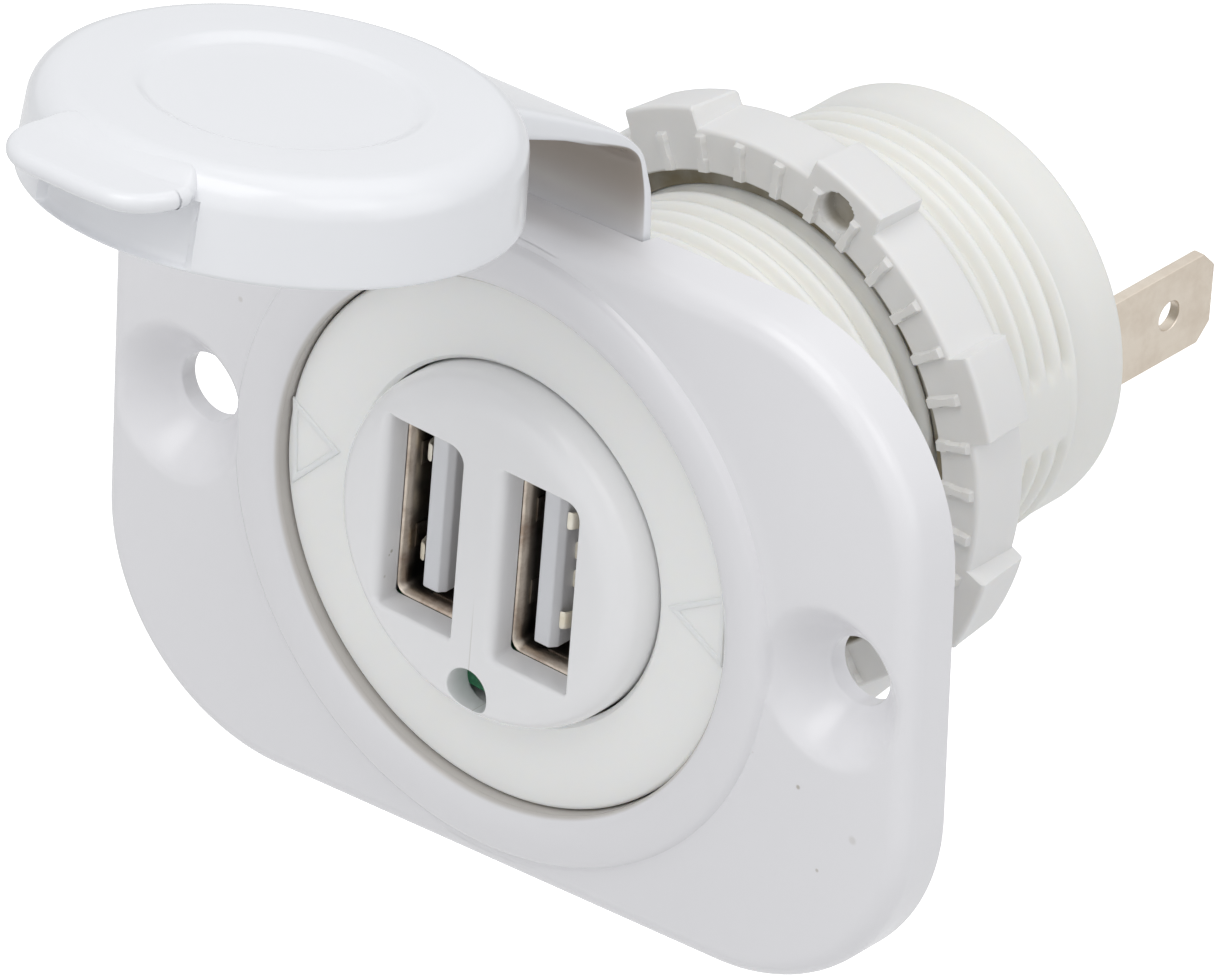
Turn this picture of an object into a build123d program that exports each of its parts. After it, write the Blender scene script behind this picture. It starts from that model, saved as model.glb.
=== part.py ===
from build123d import *
import math
import os

# Twin USB charging socket for a car or boat panel, with a screw-on mounting plate,
# a plastic ring nut and a flip cap on a moulded strap. Millimetres.
# X points right as seen from the front, Y points back into the panel, Z points up.
# The origin is on the socket's axis, in the plane where the plate meets the panel.

# Clearances
slide_gap = 0.2
press_gap = 0.1

# Mounting plate
plate_end = 10.6
plate_margin = 1.6
plate_corner = 14.2
plate_thickness = 4.3
plate_skin = 1.8
plate_edge = 1.4
screw_inset = 5.9
screw_hole = 4.5
screw_seat = 1.4
dimple_width = 9.8
dimple_bulge = 0.35
collar_width = 3.3
collar_height = 0.8
rib_thickness = 1.2
rib_offset = 12.5
rib_set_back = 0.6

# Socket body: flange, threaded barrel and plain rear end in one moulding
barrel_wall = 2.3
flange_reach = 3.1
flange_thickness = 1.5
flange_sunk = 0.5
flange_edge = 0.35
bore_chamfer = 0.6
thread_pitch = 1.55
thread_depth = 0.7
thread_crest = 0.9
thread_run_in = 1.6
rear_step = 0.15
rear_edge = 0.5
rear_length = 4.9
rear_wall = 2.0
ledge_height = 1.2
ledge_width = 4.0
ledge_length = 1.5
ledge_count = 3
socket_turn = 2.7

# Ring nut, run part of the way along the thread
nut_front = 18.0
nut_length = 4.9
nut_wall = 2.2
nut_mouth_gap = 1.7
nut_mouth_depth = 2.6
tooth_height = 0.5
tooth_width = 0.65
tooth_count = 36
tooth_first = 3.0
lug_height = 1.6
lug_taper = 0.45
lug_count = 8
lug_angle = 16.8
lug_first = 22.5
gate_hole = 2.5
gate_depth = 1.2
gate_lug_angle = 67.8

# Face insert
insert_land = 1.6
insert_gap = 0.35
insert_proud = 2.9
insert_wall = 2.0
insert_skirt = 1.1
insert_round = 2.2
indicator_hole = 3.1
indicator_inset = 2.25

# Twin USB receptacles, standing on their own board
port_spacing = 9.1
port_rise = 0.25
shell_width = 5.7
shell_height = 13.1
shell_metal = 0.3
shell_corner = 0.7
shell_length = 11.9
opening_gap = 0.1
opening_top_round = 1.1
opening_foot_round = 0.3
tongue_width = 1.84
tongue_tip = 1.1
tongue_taper = 0.5
tongue_end_gap = 1.0
tongue_set_back = 0.2
left_tongue_shift = -0.5
right_tongue_shift = -0.8
base_depth = 2.5
contact_metal = 0.25
contact_bow = 0.5
contact_width = 1.25
contact_outer = 3.5
contact_inner = 1.0
outer_contact_back = 0.6
inner_contact_back = 1.6
contact_bow_length = 2.4

# Boards and the parts on them
board_thickness = 1.6
usb_board_gap = 0.2
power_board_gap = 1.8
power_board_end_gap = 5.3
power_board_side_gap = 1.5
board_part_gap = 1.2
power_board_drop = 1.6
indicator_board_thickness = 1.0
indicator_board_gap = 0.3
led_length = 1.0
led_width = 0.5
led_height = 0.3
lead_width = 0.6
lead_offset = 4.5
pin_width = 0.64
pin_pitch = 2.54
pin_count = 6
pin_tail = 2.4
choke_width = 8.4
choke_height = 6.5
choke_flange = 1.2
choke_waist = 4.0
winding_width = 7.6
choke_across = 4.8
input_capacitor_size = (8.0, 9.0)
input_capacitor_across = -5.0
output_capacitor_size = (6.3, 8.0)
output_capacitor_across = -6.2
capacitor_edge = 0.5
chip_size = (5.0, 4.0, 1.5)
chip_across = 3.0
chip_foot = 0.4
chip_foot_reach = 1.0
chip_foot_pitch = 1.27
diode_size = (4.4, 2.7, 2.2)
diode_across = 8.2

# Blade terminals
terminal_width = 6.3
terminal_metal = 0.8
terminal_rise = 0.27
terminal_reach = 12.05
terminal_overlap = 4.0
terminal_corner = 1.15
terminal_hole = 2.0
terminal_hole_inset = 4.2

# Cap, strap ring and hinge. The cap is drawn closed over the face and swung open.
cap_inside_gap = 1.97
cap_draft = 0.25
cap_height = 6.4
cap_round = 2.4
cap_wall = 1.65
cap_roof = 1.8
cap_rim_gap = 0.57
dish_margin = 6.87
dish_depth = 0.45
dish_slope = 0.8
tab_width = 13.4
tab_reach = 3.6
tab_corner = 3.6
tab_thickness = 1.7
tab_below_top = 0.8
tab_droop = 7.0
tab_edge = 0.5
tab_turn = -2.2
grip_width = 12.0
grip_depth = 0.9
strap_width = 14.8
strap_thickness = 1.3
strap_rise = 4.05
hinge_gap = 0.23
cap_open_angle = 98.3
arm_root_inside = 1.9
arm_root_outside = 2.6
arm_clearance = 0.3
arm_hollow = 0.38
arm_thickness = 1.8
arm_shoulder_lean = 18.5
arm_elbow_back = 2.6
arm_elbow_drop = 1.15
arm_end_back = 1.05
arm_end_rise = 0.6

# Widths worked out from the ports outwards
port_side = port_spacing / 2 + shell_width / 2
port_top = shell_height / 2 + port_rise
insert_width = 2 * (math.hypot(port_side, port_top) + insert_land)
barrel_bore = insert_width + 2 * insert_gap
barrel_width = barrel_bore + 2 * barrel_wall
rear_width = barrel_width - 2 * rear_step
flange_width = barrel_width + 2 * flange_reach
nut_mouth = barrel_width + 2 * nut_mouth_gap
nut_width = nut_mouth + 2 * nut_wall
lug_width = nut_width + 2 * lug_height
recess_radius = flange_width / 2 + slide_gap
collar_radius = recess_radius + collar_width
seat_radius = recess_radius + plate_skin
strap_ring_radius = seat_radius - slide_gap
barrel_hole = barrel_width / 2 + slide_gap
plate_width = 2 * (collar_radius + plate_end)
plate_height = 2 * (collar_radius + plate_margin)
screw_spacing = plate_width - 2 * screw_inset
cap_width = insert_width + 2 * (cap_inside_gap + cap_wall)
dish_width = cap_width - 2 * dish_margin
tongue_height = shell_height - 2 * tongue_end_gap
indicator_drop = insert_width / 2 - indicator_inset
power_board_width = barrel_bore - 2 * power_board_side_gap
terminal_spacing = power_board_width + terminal_metal

# Places along the power board, from its front edge
parts_start = pin_tail + board_part_gap
output_capacitor_along = parts_start + output_capacitor_size[0] / 2
input_capacitor_start = parts_start + output_capacitor_size[0] + board_part_gap
input_capacitor_along = input_capacitor_start + input_capacitor_size[0] / 2
power_board_length = input_capacitor_start + input_capacitor_size[0] + board_part_gap
chip_along = parts_start + chip_size[1] / 2 + chip_foot_reach
diode_along = parts_start + diode_size[1] / 2
choke_along = power_board_length - board_part_gap - choke_width / 2

# Depths and heights worked out from the plate's rear plane
plate_front = -plate_thickness
collar_top = plate_front - collar_height
flange_face = plate_front + flange_sunk
flange_back = flange_face + flange_thickness
insert_face = flange_face - insert_proud
shell_front = insert_face + insert_wall
usb_board_front = shell_front + shell_length
usb_board_back = usb_board_front + board_thickness
tongue_front = shell_front + tongue_set_back
base_front = usb_board_front - base_depth
power_board_start = usb_board_back + power_board_gap
power_board_end = power_board_start + power_board_length
rear_end = power_board_end + power_board_end_gap + rear_wall
thread_end = rear_end - rear_length
board_top = -power_board_drop
cap_rim = flange_face - cap_rim_gap
cap_top = cap_rim - cap_height
leg_top = plate_height / 2 + strap_rise
hinge_y = -strap_thickness
hinge_z = leg_top + hinge_gap


def drum(radius, front, back):
    """Solid cylinder on the Y axis between two depths."""
    return Pos(0, (front + back) / 2, 0) * Rot(90, 0, 0) * Cylinder(radius, back - front)


def sleeve(outer, inner, front, back):
    """Plain tube on the Y axis between two depths."""
    return drum(outer, front, back) - drum(inner, front, back)


def turned(*edges):
    """Solid of revolution about the Y axis, from a closed outline of (radius, depth)."""
    return revolve(make_face(Wire(list(edges))), Axis.Y)


def turned_points(points):
    """Solid of revolution about the Y axis, from the corners (radius, depth)."""
    return revolve(make_face(Polyline(*points, close=True)), Axis.Y)


def block(size, centre):
    """Box from its three sizes and its centre."""
    return Pos(*centre) * Box(*size)


def around_axis(shape, angle):
    """Copy of a shape turned about the Y axis, anticlockwise as seen from the front."""
    return Rot(0, -angle, 0) * shape


def collar():
    """Half-round bead that frames the flange, raised on the front of the plate."""
    inner = (recess_radius, plate_front)
    crest = (recess_radius + collar_width / 2, collar_top)
    outer = (collar_radius, plate_front)
    foot_in = (recess_radius, plate_front + plate_skin)
    foot_out = (collar_radius, plate_front + plate_skin)
    return turned(
        ThreePointArc(inner, crest, outer),
        Line(outer, foot_out),
        Line(foot_out, foot_in),
        Line(foot_in, inner),
    )


def dimple():
    """Rounded hollow round a screw, with its hole, as one cutter."""
    edge = (dimple_width / 2, plate_front)
    neck = (screw_hole / 2, -screw_seat)
    middle = (
        (edge[0] + neck[0]) / 2 + dimple_bulge,
        (edge[1] + neck[1]) / 2 + dimple_bulge,
    )
    above = plate_front - plate_thickness
    behind = plate_thickness
    return turned(
        Line((0, above), (edge[0], above)),
        Line((edge[0], above), edge),
        ThreePointArc(edge, middle, neck),
        Line(neck, (neck[0], behind)),
        Line((neck[0], behind), (0, behind)),
        Line((0, behind), (0, above)),
    )


def plate_blank():
    """Rounded rectangle with a soft front edge, still solid."""
    outline = RectangleRounded(plate_width, plate_height, plate_corner)
    slab = extrude(Plane.XZ * outline, plate_thickness)
    return fillet(slab.edges().group_by(Axis.Y)[0], plate_edge)


def plate_backing():
    """Seat wall, screw bosses and ribs behind the skin."""
    boss_radius = dimple_width / 2 + screw_seat / 2
    backing = drum(seat_radius, plate_front, -strap_thickness)
    for side in (-1, 1):
        backing += Pos(side * screw_spacing / 2, 0, 0) * drum(boss_radius, plate_front, 0)
    rib_size = (rib_thickness, plate_thickness - rib_set_back, plate_height / 2 - plate_skin / 2)
    rib_middle = (plate_front - rib_set_back) / 2
    for x in (-rib_offset, rib_offset):
        for side in (-1, 1):
            backing += block(rib_size, (x, rib_middle, side * rib_size[2] / 2))
    return backing


def mounting_plate():
    """Moulded plate: a skin and rim, hollow behind, that frames and clamps the flange."""
    blank = plate_blank()
    pocket_outline = RectangleRounded(
        plate_width - 2 * plate_skin, plate_height - 2 * plate_skin, plate_corner - plate_skin
    )
    pocket = extrude(Plane.XZ * pocket_outline, plate_thickness - plate_skin)
    plate = blank - pocket
    plate += plate_backing() & blank
    plate += collar()
    plate -= drum(recess_radius, collar_top, flange_back)
    plate -= drum(barrel_hole, collar_top, plate_thickness)
    plate -= drum(seat_radius, -strap_thickness, plate_thickness)
    for side in (-1, 1):
        plate -= Pos(side * screw_spacing / 2, 0, 0) * dimple()
    notch = (strap_width + 2 * slide_gap, 2 * strap_thickness, plate_height / 2)
    plate -= block(notch, (0, 0, plate_height / 2))
    return plate


def rims(shape, radius):
    """Circular edges of one radius about the Y axis, front first."""
    circles = shape.edges().filter_by(GeomType.CIRCLE)
    return circles.filter_by(lambda edge: abs(edge.radius - radius) < 0.01).sort_by(Axis.Y)


def thread_rings():
    """Corners (radius, depth) of the barrel's coarse thread, every second turn of it as a plain ring."""
    crest, root = barrel_width / 2, barrel_width / 2 - thread_depth
    start, step = flange_back + thread_run_in, 2 * thread_pitch
    corners = []
    for number in range(int((thread_end + thread_crest - start) // step)):
        valley = start + number * step
        flank = (step - 2 * thread_crest) / 2
        middle = valley + flank
        corners += [
            (crest, valley),
            (root, middle - thread_crest / 4),
            (root, middle + thread_crest / 4),
            (crest, middle + flank),
        ]
    return corners


def body_shell():
    """Flange and threaded barrel, closed at the rear."""
    bore = barrel_bore / 2
    barrel = turned_points([
        (bore + bore_chamfer, flange_face),
        (flange_width / 2, flange_face),
        (flange_width / 2, flange_back),
        (barrel_width / 2, flange_back),
        *thread_rings(),
        (barrel_width / 2, thread_end),
        (rear_width / 2, thread_end),
        (rear_width / 2, rear_end),
        (0, rear_end),
        (0, rear_end - rear_wall),
        (bore, rear_end - rear_wall),
        (bore, flange_face + bore_chamfer),
    ])
    barrel = fillet(rims(barrel, flange_width / 2)[0], flange_edge)
    return fillet(rims(barrel, rear_width / 2)[-1], rear_edge)


def socket_body():
    """One moulding: flange, barrel, the ledges that the USB board rests on, blade slots."""
    body = body_shell()
    ledge_size = (ledge_height * 2, ledge_length, ledge_width)
    ledge = block(ledge_size, (barrel_bore / 2, usb_board_back + ledge_length / 2, 0))
    for number in range(ledge_count):
        body += around_axis(ledge, 90 + number * 360 / ledge_count)
    slot = (terminal_metal + 2 * press_gap, 2 * rear_wall, terminal_width + 2 * press_gap)
    for side in (-1, 1):
        body -= block(slot, (side * terminal_spacing / 2, rear_end - rear_wall, terminal_rise))
    return body


def nut_tooth():
    """Low radial rib on the nut's front face, which bites the back of the panel."""
    size = (nut_wall, tooth_height, tooth_width)
    middle = nut_front + tooth_height / 2
    return block(size, ((nut_mouth + nut_width) / 4, middle, 0))


def ring_nut():
    """Clamping nut: eight grip lugs outside, teeth on the front, a wider mouth inside."""
    nut_back = nut_front + nut_length
    seat = nut_front + tooth_height
    ring = drum(nut_width / 2, seat, nut_back)
    lug_ring = turned_points([
        (nut_mouth / 2, seat),
        (lug_width / 2, seat),
        (lug_width / 2 - lug_taper, nut_back),
        (nut_mouth / 2, nut_back),
    ])
    reach = lug_width
    half = math.radians(lug_angle / 2)
    wedge = extrude(
        Plane.XZ * make_face(Polyline(
            (0, 0),
            (reach * math.cos(half), -reach * math.sin(half)),
            (reach * math.cos(half), reach * math.sin(half)),
            close=True,
        )),
        -2 * nut_back,
    )
    lug = lug_ring & wedge
    for number in range(lug_count):
        ring += around_axis(lug, lug_first + number * 360 / lug_count)
    for number in range(tooth_count):
        ring += around_axis(nut_tooth(), tooth_first + number * 360 / tooth_count)
    ring -= drum(barrel_width / 2 + press_gap / 2, nut_front, nut_back)
    ring -= drum(nut_mouth / 2, nut_front, nut_front + nut_mouth_depth)
    gate_centre = (nut_mouth + nut_width) / 4 + lug_height / 4
    gate = Pos(gate_centre, 0, 0) * drum(gate_hole / 2, nut_front, seat + gate_depth)
    return ring - around_axis(gate, gate_lug_angle)


def port_centres():
    """Sideways places of the two ports, left first."""
    return (-port_spacing / 2, port_spacing / 2)


def opening_outline():
    """Outline of one port opening: soft corners at the top, crisp ones at the foot."""
    outline = Rectangle(shell_width + 2 * opening_gap, shell_height + 2 * opening_gap)
    corners = outline.vertices().group_by(Axis.Y)
    outline = fillet(corners[-1], opening_top_round)
    corners = outline.vertices().group_by(Axis.Y)
    return fillet(corners[0], opening_foot_round)


def face_insert():
    """Cup-shaped moulding with a rounded front, two port openings and the lamp hole."""
    cup = drum(insert_width / 2, insert_face, usb_board_front)
    cup = fillet(cup.edges().sort_by(Axis.Y)[0], insert_round)
    cup -= drum(insert_width / 2 - insert_skirt, shell_front, usb_board_front)
    for x in port_centres():
        opening = Plane.XZ.offset(-shell_front) * Pos(x, port_rise) * opening_outline()
        cup -= extrude(opening, 2 * insert_wall, both=True)
    hole = drum(indicator_hole / 2, insert_face - insert_wall, shell_front)
    return cup - Pos(0, 0, -indicator_drop) * hole


def usb_shell(x):
    """Folded metal shell of one receptacle, open at the front."""
    outer = RectangleRounded(shell_width, shell_height, shell_corner)
    inner = RectangleRounded(
        shell_width - 2 * shell_metal, shell_height - 2 * shell_metal, shell_corner - shell_metal
    )
    tube = extrude(Plane.XZ.offset(-shell_front) * (outer - inner), -shell_length)
    return Pos(x, 0, port_rise) * tube


def usb_tongue(x, shift):
    """Plastic tongue and the base block that closes the back of the shell, in one piece."""
    base_outline = RectangleRounded(
        shell_width - 2 * shell_metal, shell_height - 2 * shell_metal, shell_corner - shell_metal
    )
    base = extrude(Plane.XZ.offset(-base_front) * base_outline, -base_depth)
    half = tongue_width / 2
    tip = tongue_tip / 2
    plan = Polyline(
        (shift - tip, tongue_front),
        (shift + tip, tongue_front),
        (shift + half, tongue_front + tongue_taper),
        (shift + half, base_front),
        (shift - half, base_front),
        (shift - half, tongue_front + tongue_taper),
        close=True,
    )
    tongue = extrude(make_face(plan), tongue_height / 2, both=True)
    return Pos(x, 0, port_rise) * (base + tongue)


def contact_strip(face, outward, start, height):
    """One sprung contact: a bowed strip on the tongue's face, back to the base."""
    inside = [
        (0, start),
        (contact_bow, start + contact_bow_length / 2),
        (0, start + contact_bow_length),
        (0, base_front),
    ]
    outside = [(u + contact_metal, y) for u, y in reversed(inside)]
    plan = Polyline(*[(face + outward * u, y) for u, y in inside + outside], close=True)
    strip = extrude(make_face(plan), contact_width / 2, both=True)
    return Pos(0, 0, height) * strip


def usb_contacts(x, shift, outward):
    """The four contacts of one port, on the side of the tongue that outward names."""
    face = shift + outward * tongue_width / 2
    first = tongue_front + tongue_taper
    strips = []
    for height, set_back in (
        (-contact_outer, outer_contact_back),
        (-contact_inner, inner_contact_back),
        (contact_inner, inner_contact_back),
        (contact_outer, outer_contact_back),
    ):
        strips.append(contact_strip(face, outward, first + set_back, height))
    return [Pos(x, 0, port_rise) * strip for strip in strips]


def usb_board():
    """Round board that carries both receptacles."""
    return drum(barrel_bore / 2 - usb_board_gap, usb_board_front, usb_board_back)


def indicator_board():
    """Small board against the back of the face, below the ports."""
    edge = insert_width / 2 - insert_skirt - indicator_board_gap
    top = port_rise - shell_height / 2 - indicator_board_gap
    disc = drum(edge, shell_front, shell_front + indicator_board_thickness)
    keep = block((2 * edge, insert_width, edge), (0, shell_front, top - edge / 2))
    return disc & keep


def indicator_led():
    """Chip lamp on the small board, inside the lamp hole."""
    centre = (0, shell_front - led_height / 2, -indicator_drop)
    return block((led_length, led_height, led_width), centre)


def indicator_leads():
    """Two stiff leads that carry the small board from the USB board."""
    start = shell_front + indicator_board_thickness
    length = usb_board_front - start
    middle = start + length / 2
    height = -indicator_drop + lead_width
    return [
        block((lead_width, length, lead_width), (x, middle, height)) for x in (-lead_offset, lead_offset)
    ]


def power_board():
    """Long board along the barrel, with the converter on it."""
    size = (power_board_width, power_board_length, board_thickness)
    centre = (0, power_board_start + power_board_length / 2, board_top - board_thickness / 2)
    return block(size, centre)


def board_link_pins():
    """Row of square pins from the USB board to the top of the power board."""
    length = power_board_start + pin_tail - usb_board_back
    middle = usb_board_back + length / 2
    first = -pin_pitch * (pin_count - 1) / 2
    return [
        block((pin_width, length, pin_width), (first + number * pin_pitch, middle, board_top + pin_width / 2))
        for number in range(pin_count)
    ]


def on_power_board(across, along, shape):
    """Stand a shape on the power board, at its place across and along it."""
    return Pos(across, power_board_start + along, board_top) * shape


def upright(radius, low, high):
    """Upright cylinder between two heights."""
    return Pos(0, 0, (low + high) / 2) * Cylinder(radius, high - low)


def choke_core():
    """Ferrite bobbin with a flange at each end."""
    core = upright(choke_waist / 2, 0, choke_height)
    core += upright(choke_width / 2, 0, choke_flange)
    core += upright(choke_width / 2, choke_height - choke_flange, choke_height)
    return on_power_board(choke_across, choke_along, core)


def choke_winding():
    """Copper winding between the flanges of the bobbin."""
    low = choke_flange
    high = choke_height - choke_flange
    wound = upright(winding_width / 2, low, high) - upright(choke_waist / 2, low, high)
    return on_power_board(choke_across, choke_along, wound)


def capacitor(size, across, along):
    """Can capacitor standing on the power board, with its top edge taken off."""
    can = upright(size[0] / 2, 0, size[1])
    can = chamfer(can.edges().sort_by(Axis.Z)[-1], capacitor_edge)
    return on_power_board(across, along, can)


def converter_chip():
    """Eight-legged chip: a body with four feet along each long side."""
    length, width, height = chip_size
    chip = block((length, width, height - chip_foot / 2), (0, 0, (height + chip_foot / 2) / 2))
    foot = (chip_foot, width + 2 * chip_foot_reach, chip_foot)
    for number in range(4):
        chip += block(foot, ((number - 1.5) * chip_foot_pitch, 0, chip_foot / 2))
    return on_power_board(chip_across, chip_along, chip)


def rectifier_diode():
    """Flat diode body on the power board."""
    body = block(diode_size, (0, 0, diode_size[2] / 2))
    return on_power_board(diode_across, diode_along, body)


def blade_terminal(side):
    """Flat blade with a chamfered tip and a hole, soldered to the board's side edge."""
    start = power_board_end - terminal_overlap
    tip = rear_end + terminal_reach
    size = (terminal_metal, tip - start, terminal_width)
    x = side * terminal_spacing / 2
    blade = block(size, (x, (start + tip) / 2, terminal_rise))
    tip_corners = blade.edges().filter_by(Axis.X).group_by(Axis.Y)[-1]
    blade = chamfer(tip_corners, terminal_corner)
    drill = Rot(0, 90, 0) * Cylinder(terminal_hole / 2, terminal_width)
    return blade - Pos(x, tip - terminal_hole_inset, terminal_rise) * drill


def cap_disc():
    """Round cap in its closed place: rounded top edge, open underneath, dished on top."""
    rim = cap_width / 2
    disc = turned_points([
        (0, cap_rim),
        (rim, cap_rim),
        (rim - cap_draft, cap_top),
        (0, cap_top),
    ])
    disc = fillet(disc.edges().sort_by(Axis.Y)[0], cap_round)
    disc -= drum(rim - cap_wall, cap_top + cap_roof, cap_rim)
    dish = turned_points([
        (0, cap_top - dish_depth),
        (dish_width / 2 + dish_slope * 2, cap_top - dish_depth),
        (dish_width / 2, cap_top + dish_depth),
        (0, cap_top + dish_depth),
    ])
    return disc - dish


def thumb_tab():
    """Rounded lip past the cap's lower edge, drooping a little, to lift it with a thumb."""
    root = cap_width / 2 - cap_wall
    length = cap_wall + tab_reach
    outline = Pos(0, -root - length / 2) * Rectangle(tab_width, length)
    outline = fillet(outline.vertices().group_by(Axis.Y)[0], tab_corner)
    tab = extrude(Plane.XZ * outline, -tab_thickness)
    tab = fillet(tab.edges().filter_by(lambda edge: edge.center().Z < -root), tab_edge)
    droop = Pos(0, 0, -root) * Rot(-tab_droop, 0, 0) * Pos(0, 0, root)
    tab = Pos(0, cap_top + tab_below_top, 0) * droop * tab
    return around_axis(tab, tab_turn) - drum(root, cap_top + cap_roof, cap_rim)


def finger_grip():
    """Shallow flat cut in the skirt under the tab."""
    top = cap_top + tab_below_top + tab_thickness
    ring = sleeve(cap_width, cap_width / 2 - grip_depth, top, cap_rim + grip_depth)
    keep = (grip_width, 4 * cap_height, cap_width)
    return around_axis(ring & block(keep, (0, cap_rim, -cap_width / 2)), tab_turn)


def cap_arm():
    """Arm from the cap's top edge to the hinge, hollowed twice underneath."""
    root = (cap_width - cap_wall) / 2
    root_inside = (cap_rim - arm_root_inside, root)
    root_outside = (cap_top + arm_root_outside, root)
    over_collar = (
        collar_top - arm_clearance,
        recess_radius + collar_width / 2 + arm_clearance,
    )
    cusp = (plate_front + slide_gap, plate_height / 2)
    over_edge = (cusp[0] + arm_hollow, (cusp[1] + hinge_z) / 2)
    end_inside = (hinge_y - hinge_gap, hinge_z - hinge_gap / 2)
    end_outside = (hinge_y - arm_end_back, hinge_z + arm_end_rise)
    elbow = (hinge_y - arm_elbow_back, hinge_z - arm_elbow_drop)
    lean = math.radians(arm_shoulder_lean)
    shoulder = (
        cusp[0] - arm_thickness * math.cos(lean),
        cusp[1] - arm_thickness * math.sin(lean),
    )
    side = make_face(Wire([
        ThreePointArc(root_inside, over_collar, cusp),
        ThreePointArc(cusp, over_edge, end_inside),
        Line(end_inside, end_outside),
        ThreePointArc(end_outside, elbow, shoulder),
        Line(shoulder, root_outside),
        Line(root_outside, root_inside),
    ]))
    return extrude(Plane.YZ * side, strap_width / 2, both=True)


def cap():
    """Cap, tab and arm as one moulding, swung open about the hinge."""
    closed = cap_disc() + thumb_tab() - finger_grip() + cap_arm()
    swing = Pos(0, hinge_y, hinge_z) * Rot(-cap_open_angle, 0, 0) * Pos(0, -hinge_y, -hinge_z)
    return swing * closed


def cap_strap():
    """Flat ring trapped behind the plate, with the leg that carries the hinge."""
    ring = drum(strap_ring_radius, -strap_thickness, 0)
    leg = block((strap_width, strap_thickness, leg_top), (0, -strap_thickness / 2, leg_top / 2))
    return ring + leg - drum(barrel_hole, -strap_thickness, 0)


def in_socket(shape):
    """Turn a piece, or a list of pieces, with the socket, which sits a little off square."""
    if isinstance(shape, list):
        return Compound(children=[in_socket(piece) for piece in shape])
    return Rot(0, socket_turn, 0) * shape


left, right = port_centres()
input_can = capacitor(input_capacitor_size, input_capacitor_across, input_capacitor_along)
output_can = capacitor(output_capacitor_size, output_capacitor_across, output_capacitor_along)
nodes = {
    "mounting_plate": mounting_plate(),
    "socket_body": in_socket(socket_body()),
    "ring_nut": ring_nut(),
    "face_insert": in_socket(face_insert()),
    "usb_shell_left": in_socket(usb_shell(left)),
    "usb_shell_right": in_socket(usb_shell(right)),
    "usb_tongue_left": in_socket(usb_tongue(left, left_tongue_shift)),
    "usb_tongue_right": in_socket(usb_tongue(right, right_tongue_shift)),
    "usb_contacts_left": in_socket(usb_contacts(left, left_tongue_shift, -1)),
    "usb_contacts_right": in_socket(usb_contacts(right, right_tongue_shift, 1)),
    "usb_board": in_socket(usb_board()),
    "indicator_board": in_socket(indicator_board()),
    "indicator_led": in_socket(indicator_led()),
    "indicator_leads": in_socket(indicator_leads()),
    "power_board": in_socket(power_board()),
    "board_link_pins": in_socket(board_link_pins()),
    "choke_core": in_socket(choke_core()),
    "choke_winding": in_socket(choke_winding()),
    "input_capacitor": in_socket(input_can),
    "output_capacitor": in_socket(output_can),
    "converter_chip": in_socket(converter_chip()),
    "rectifier_diode": in_socket(rectifier_diode()),
    "positive_terminal": in_socket(blade_terminal(1)),
    "negative_terminal": in_socket(blade_terminal(-1)),
    "cap": cap(),
    "cap_strap": cap_strap(),
}

os.makedirs("parts", exist_ok=True)
for name, shape in nodes.items():
    export_step(shape, "parts/" + name + ".step")
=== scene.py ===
import math
import bmesh
import bpy
import numpy as np
from mathutils import Matrix, Vector
from mathutils.geometry import delaunay_2d_cdt


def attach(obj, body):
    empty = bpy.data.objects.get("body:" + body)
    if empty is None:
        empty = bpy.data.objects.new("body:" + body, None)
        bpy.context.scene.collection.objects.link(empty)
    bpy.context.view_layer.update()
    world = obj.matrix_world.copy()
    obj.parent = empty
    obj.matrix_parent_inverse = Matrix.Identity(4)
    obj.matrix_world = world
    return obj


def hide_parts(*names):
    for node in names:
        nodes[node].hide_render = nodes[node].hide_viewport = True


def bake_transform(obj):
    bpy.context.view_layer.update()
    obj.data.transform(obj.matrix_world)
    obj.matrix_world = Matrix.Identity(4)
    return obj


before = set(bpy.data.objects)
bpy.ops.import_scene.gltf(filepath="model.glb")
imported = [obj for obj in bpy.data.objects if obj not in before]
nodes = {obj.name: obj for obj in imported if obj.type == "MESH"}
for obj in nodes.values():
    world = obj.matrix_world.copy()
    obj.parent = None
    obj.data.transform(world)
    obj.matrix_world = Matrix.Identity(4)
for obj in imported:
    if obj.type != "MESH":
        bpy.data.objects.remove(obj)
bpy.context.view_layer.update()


# Socket body: one moulding in warm white nylon, with a bare flange ring in front, a coarse thread
# for the nut and a plain closed end. The mould's parting line leaves a smooth band down each side.
# It sits 2.7 degrees off square in its plate. Sizes are in millimetres, and mm turns them into metres.
mm = 0.001
flange_r, flange_face, flange_back, flange_edge = 17.4, -3.8, -2.3, 0.3
crest_r, root_r, thread_pitch, thread_end = 14.3, 13.5, 1.55, 33.3
rear_r, rear_end, rear_edge = 14.15, 38.2, 0.5
bore_r, bore_floor, bore_chamfer = 11.8, 36.2, 0.3
socket_turn = math.radians(2.7)
mark_width, mark_height = 0.42, 0.13
flange_triangles = (((-16.95, 2.4), (-16.6, -2.75), (-13.55, 0.5)), ((13.0, 1.1), (16.85, -1.0), (16.75, 3.35)))


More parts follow.
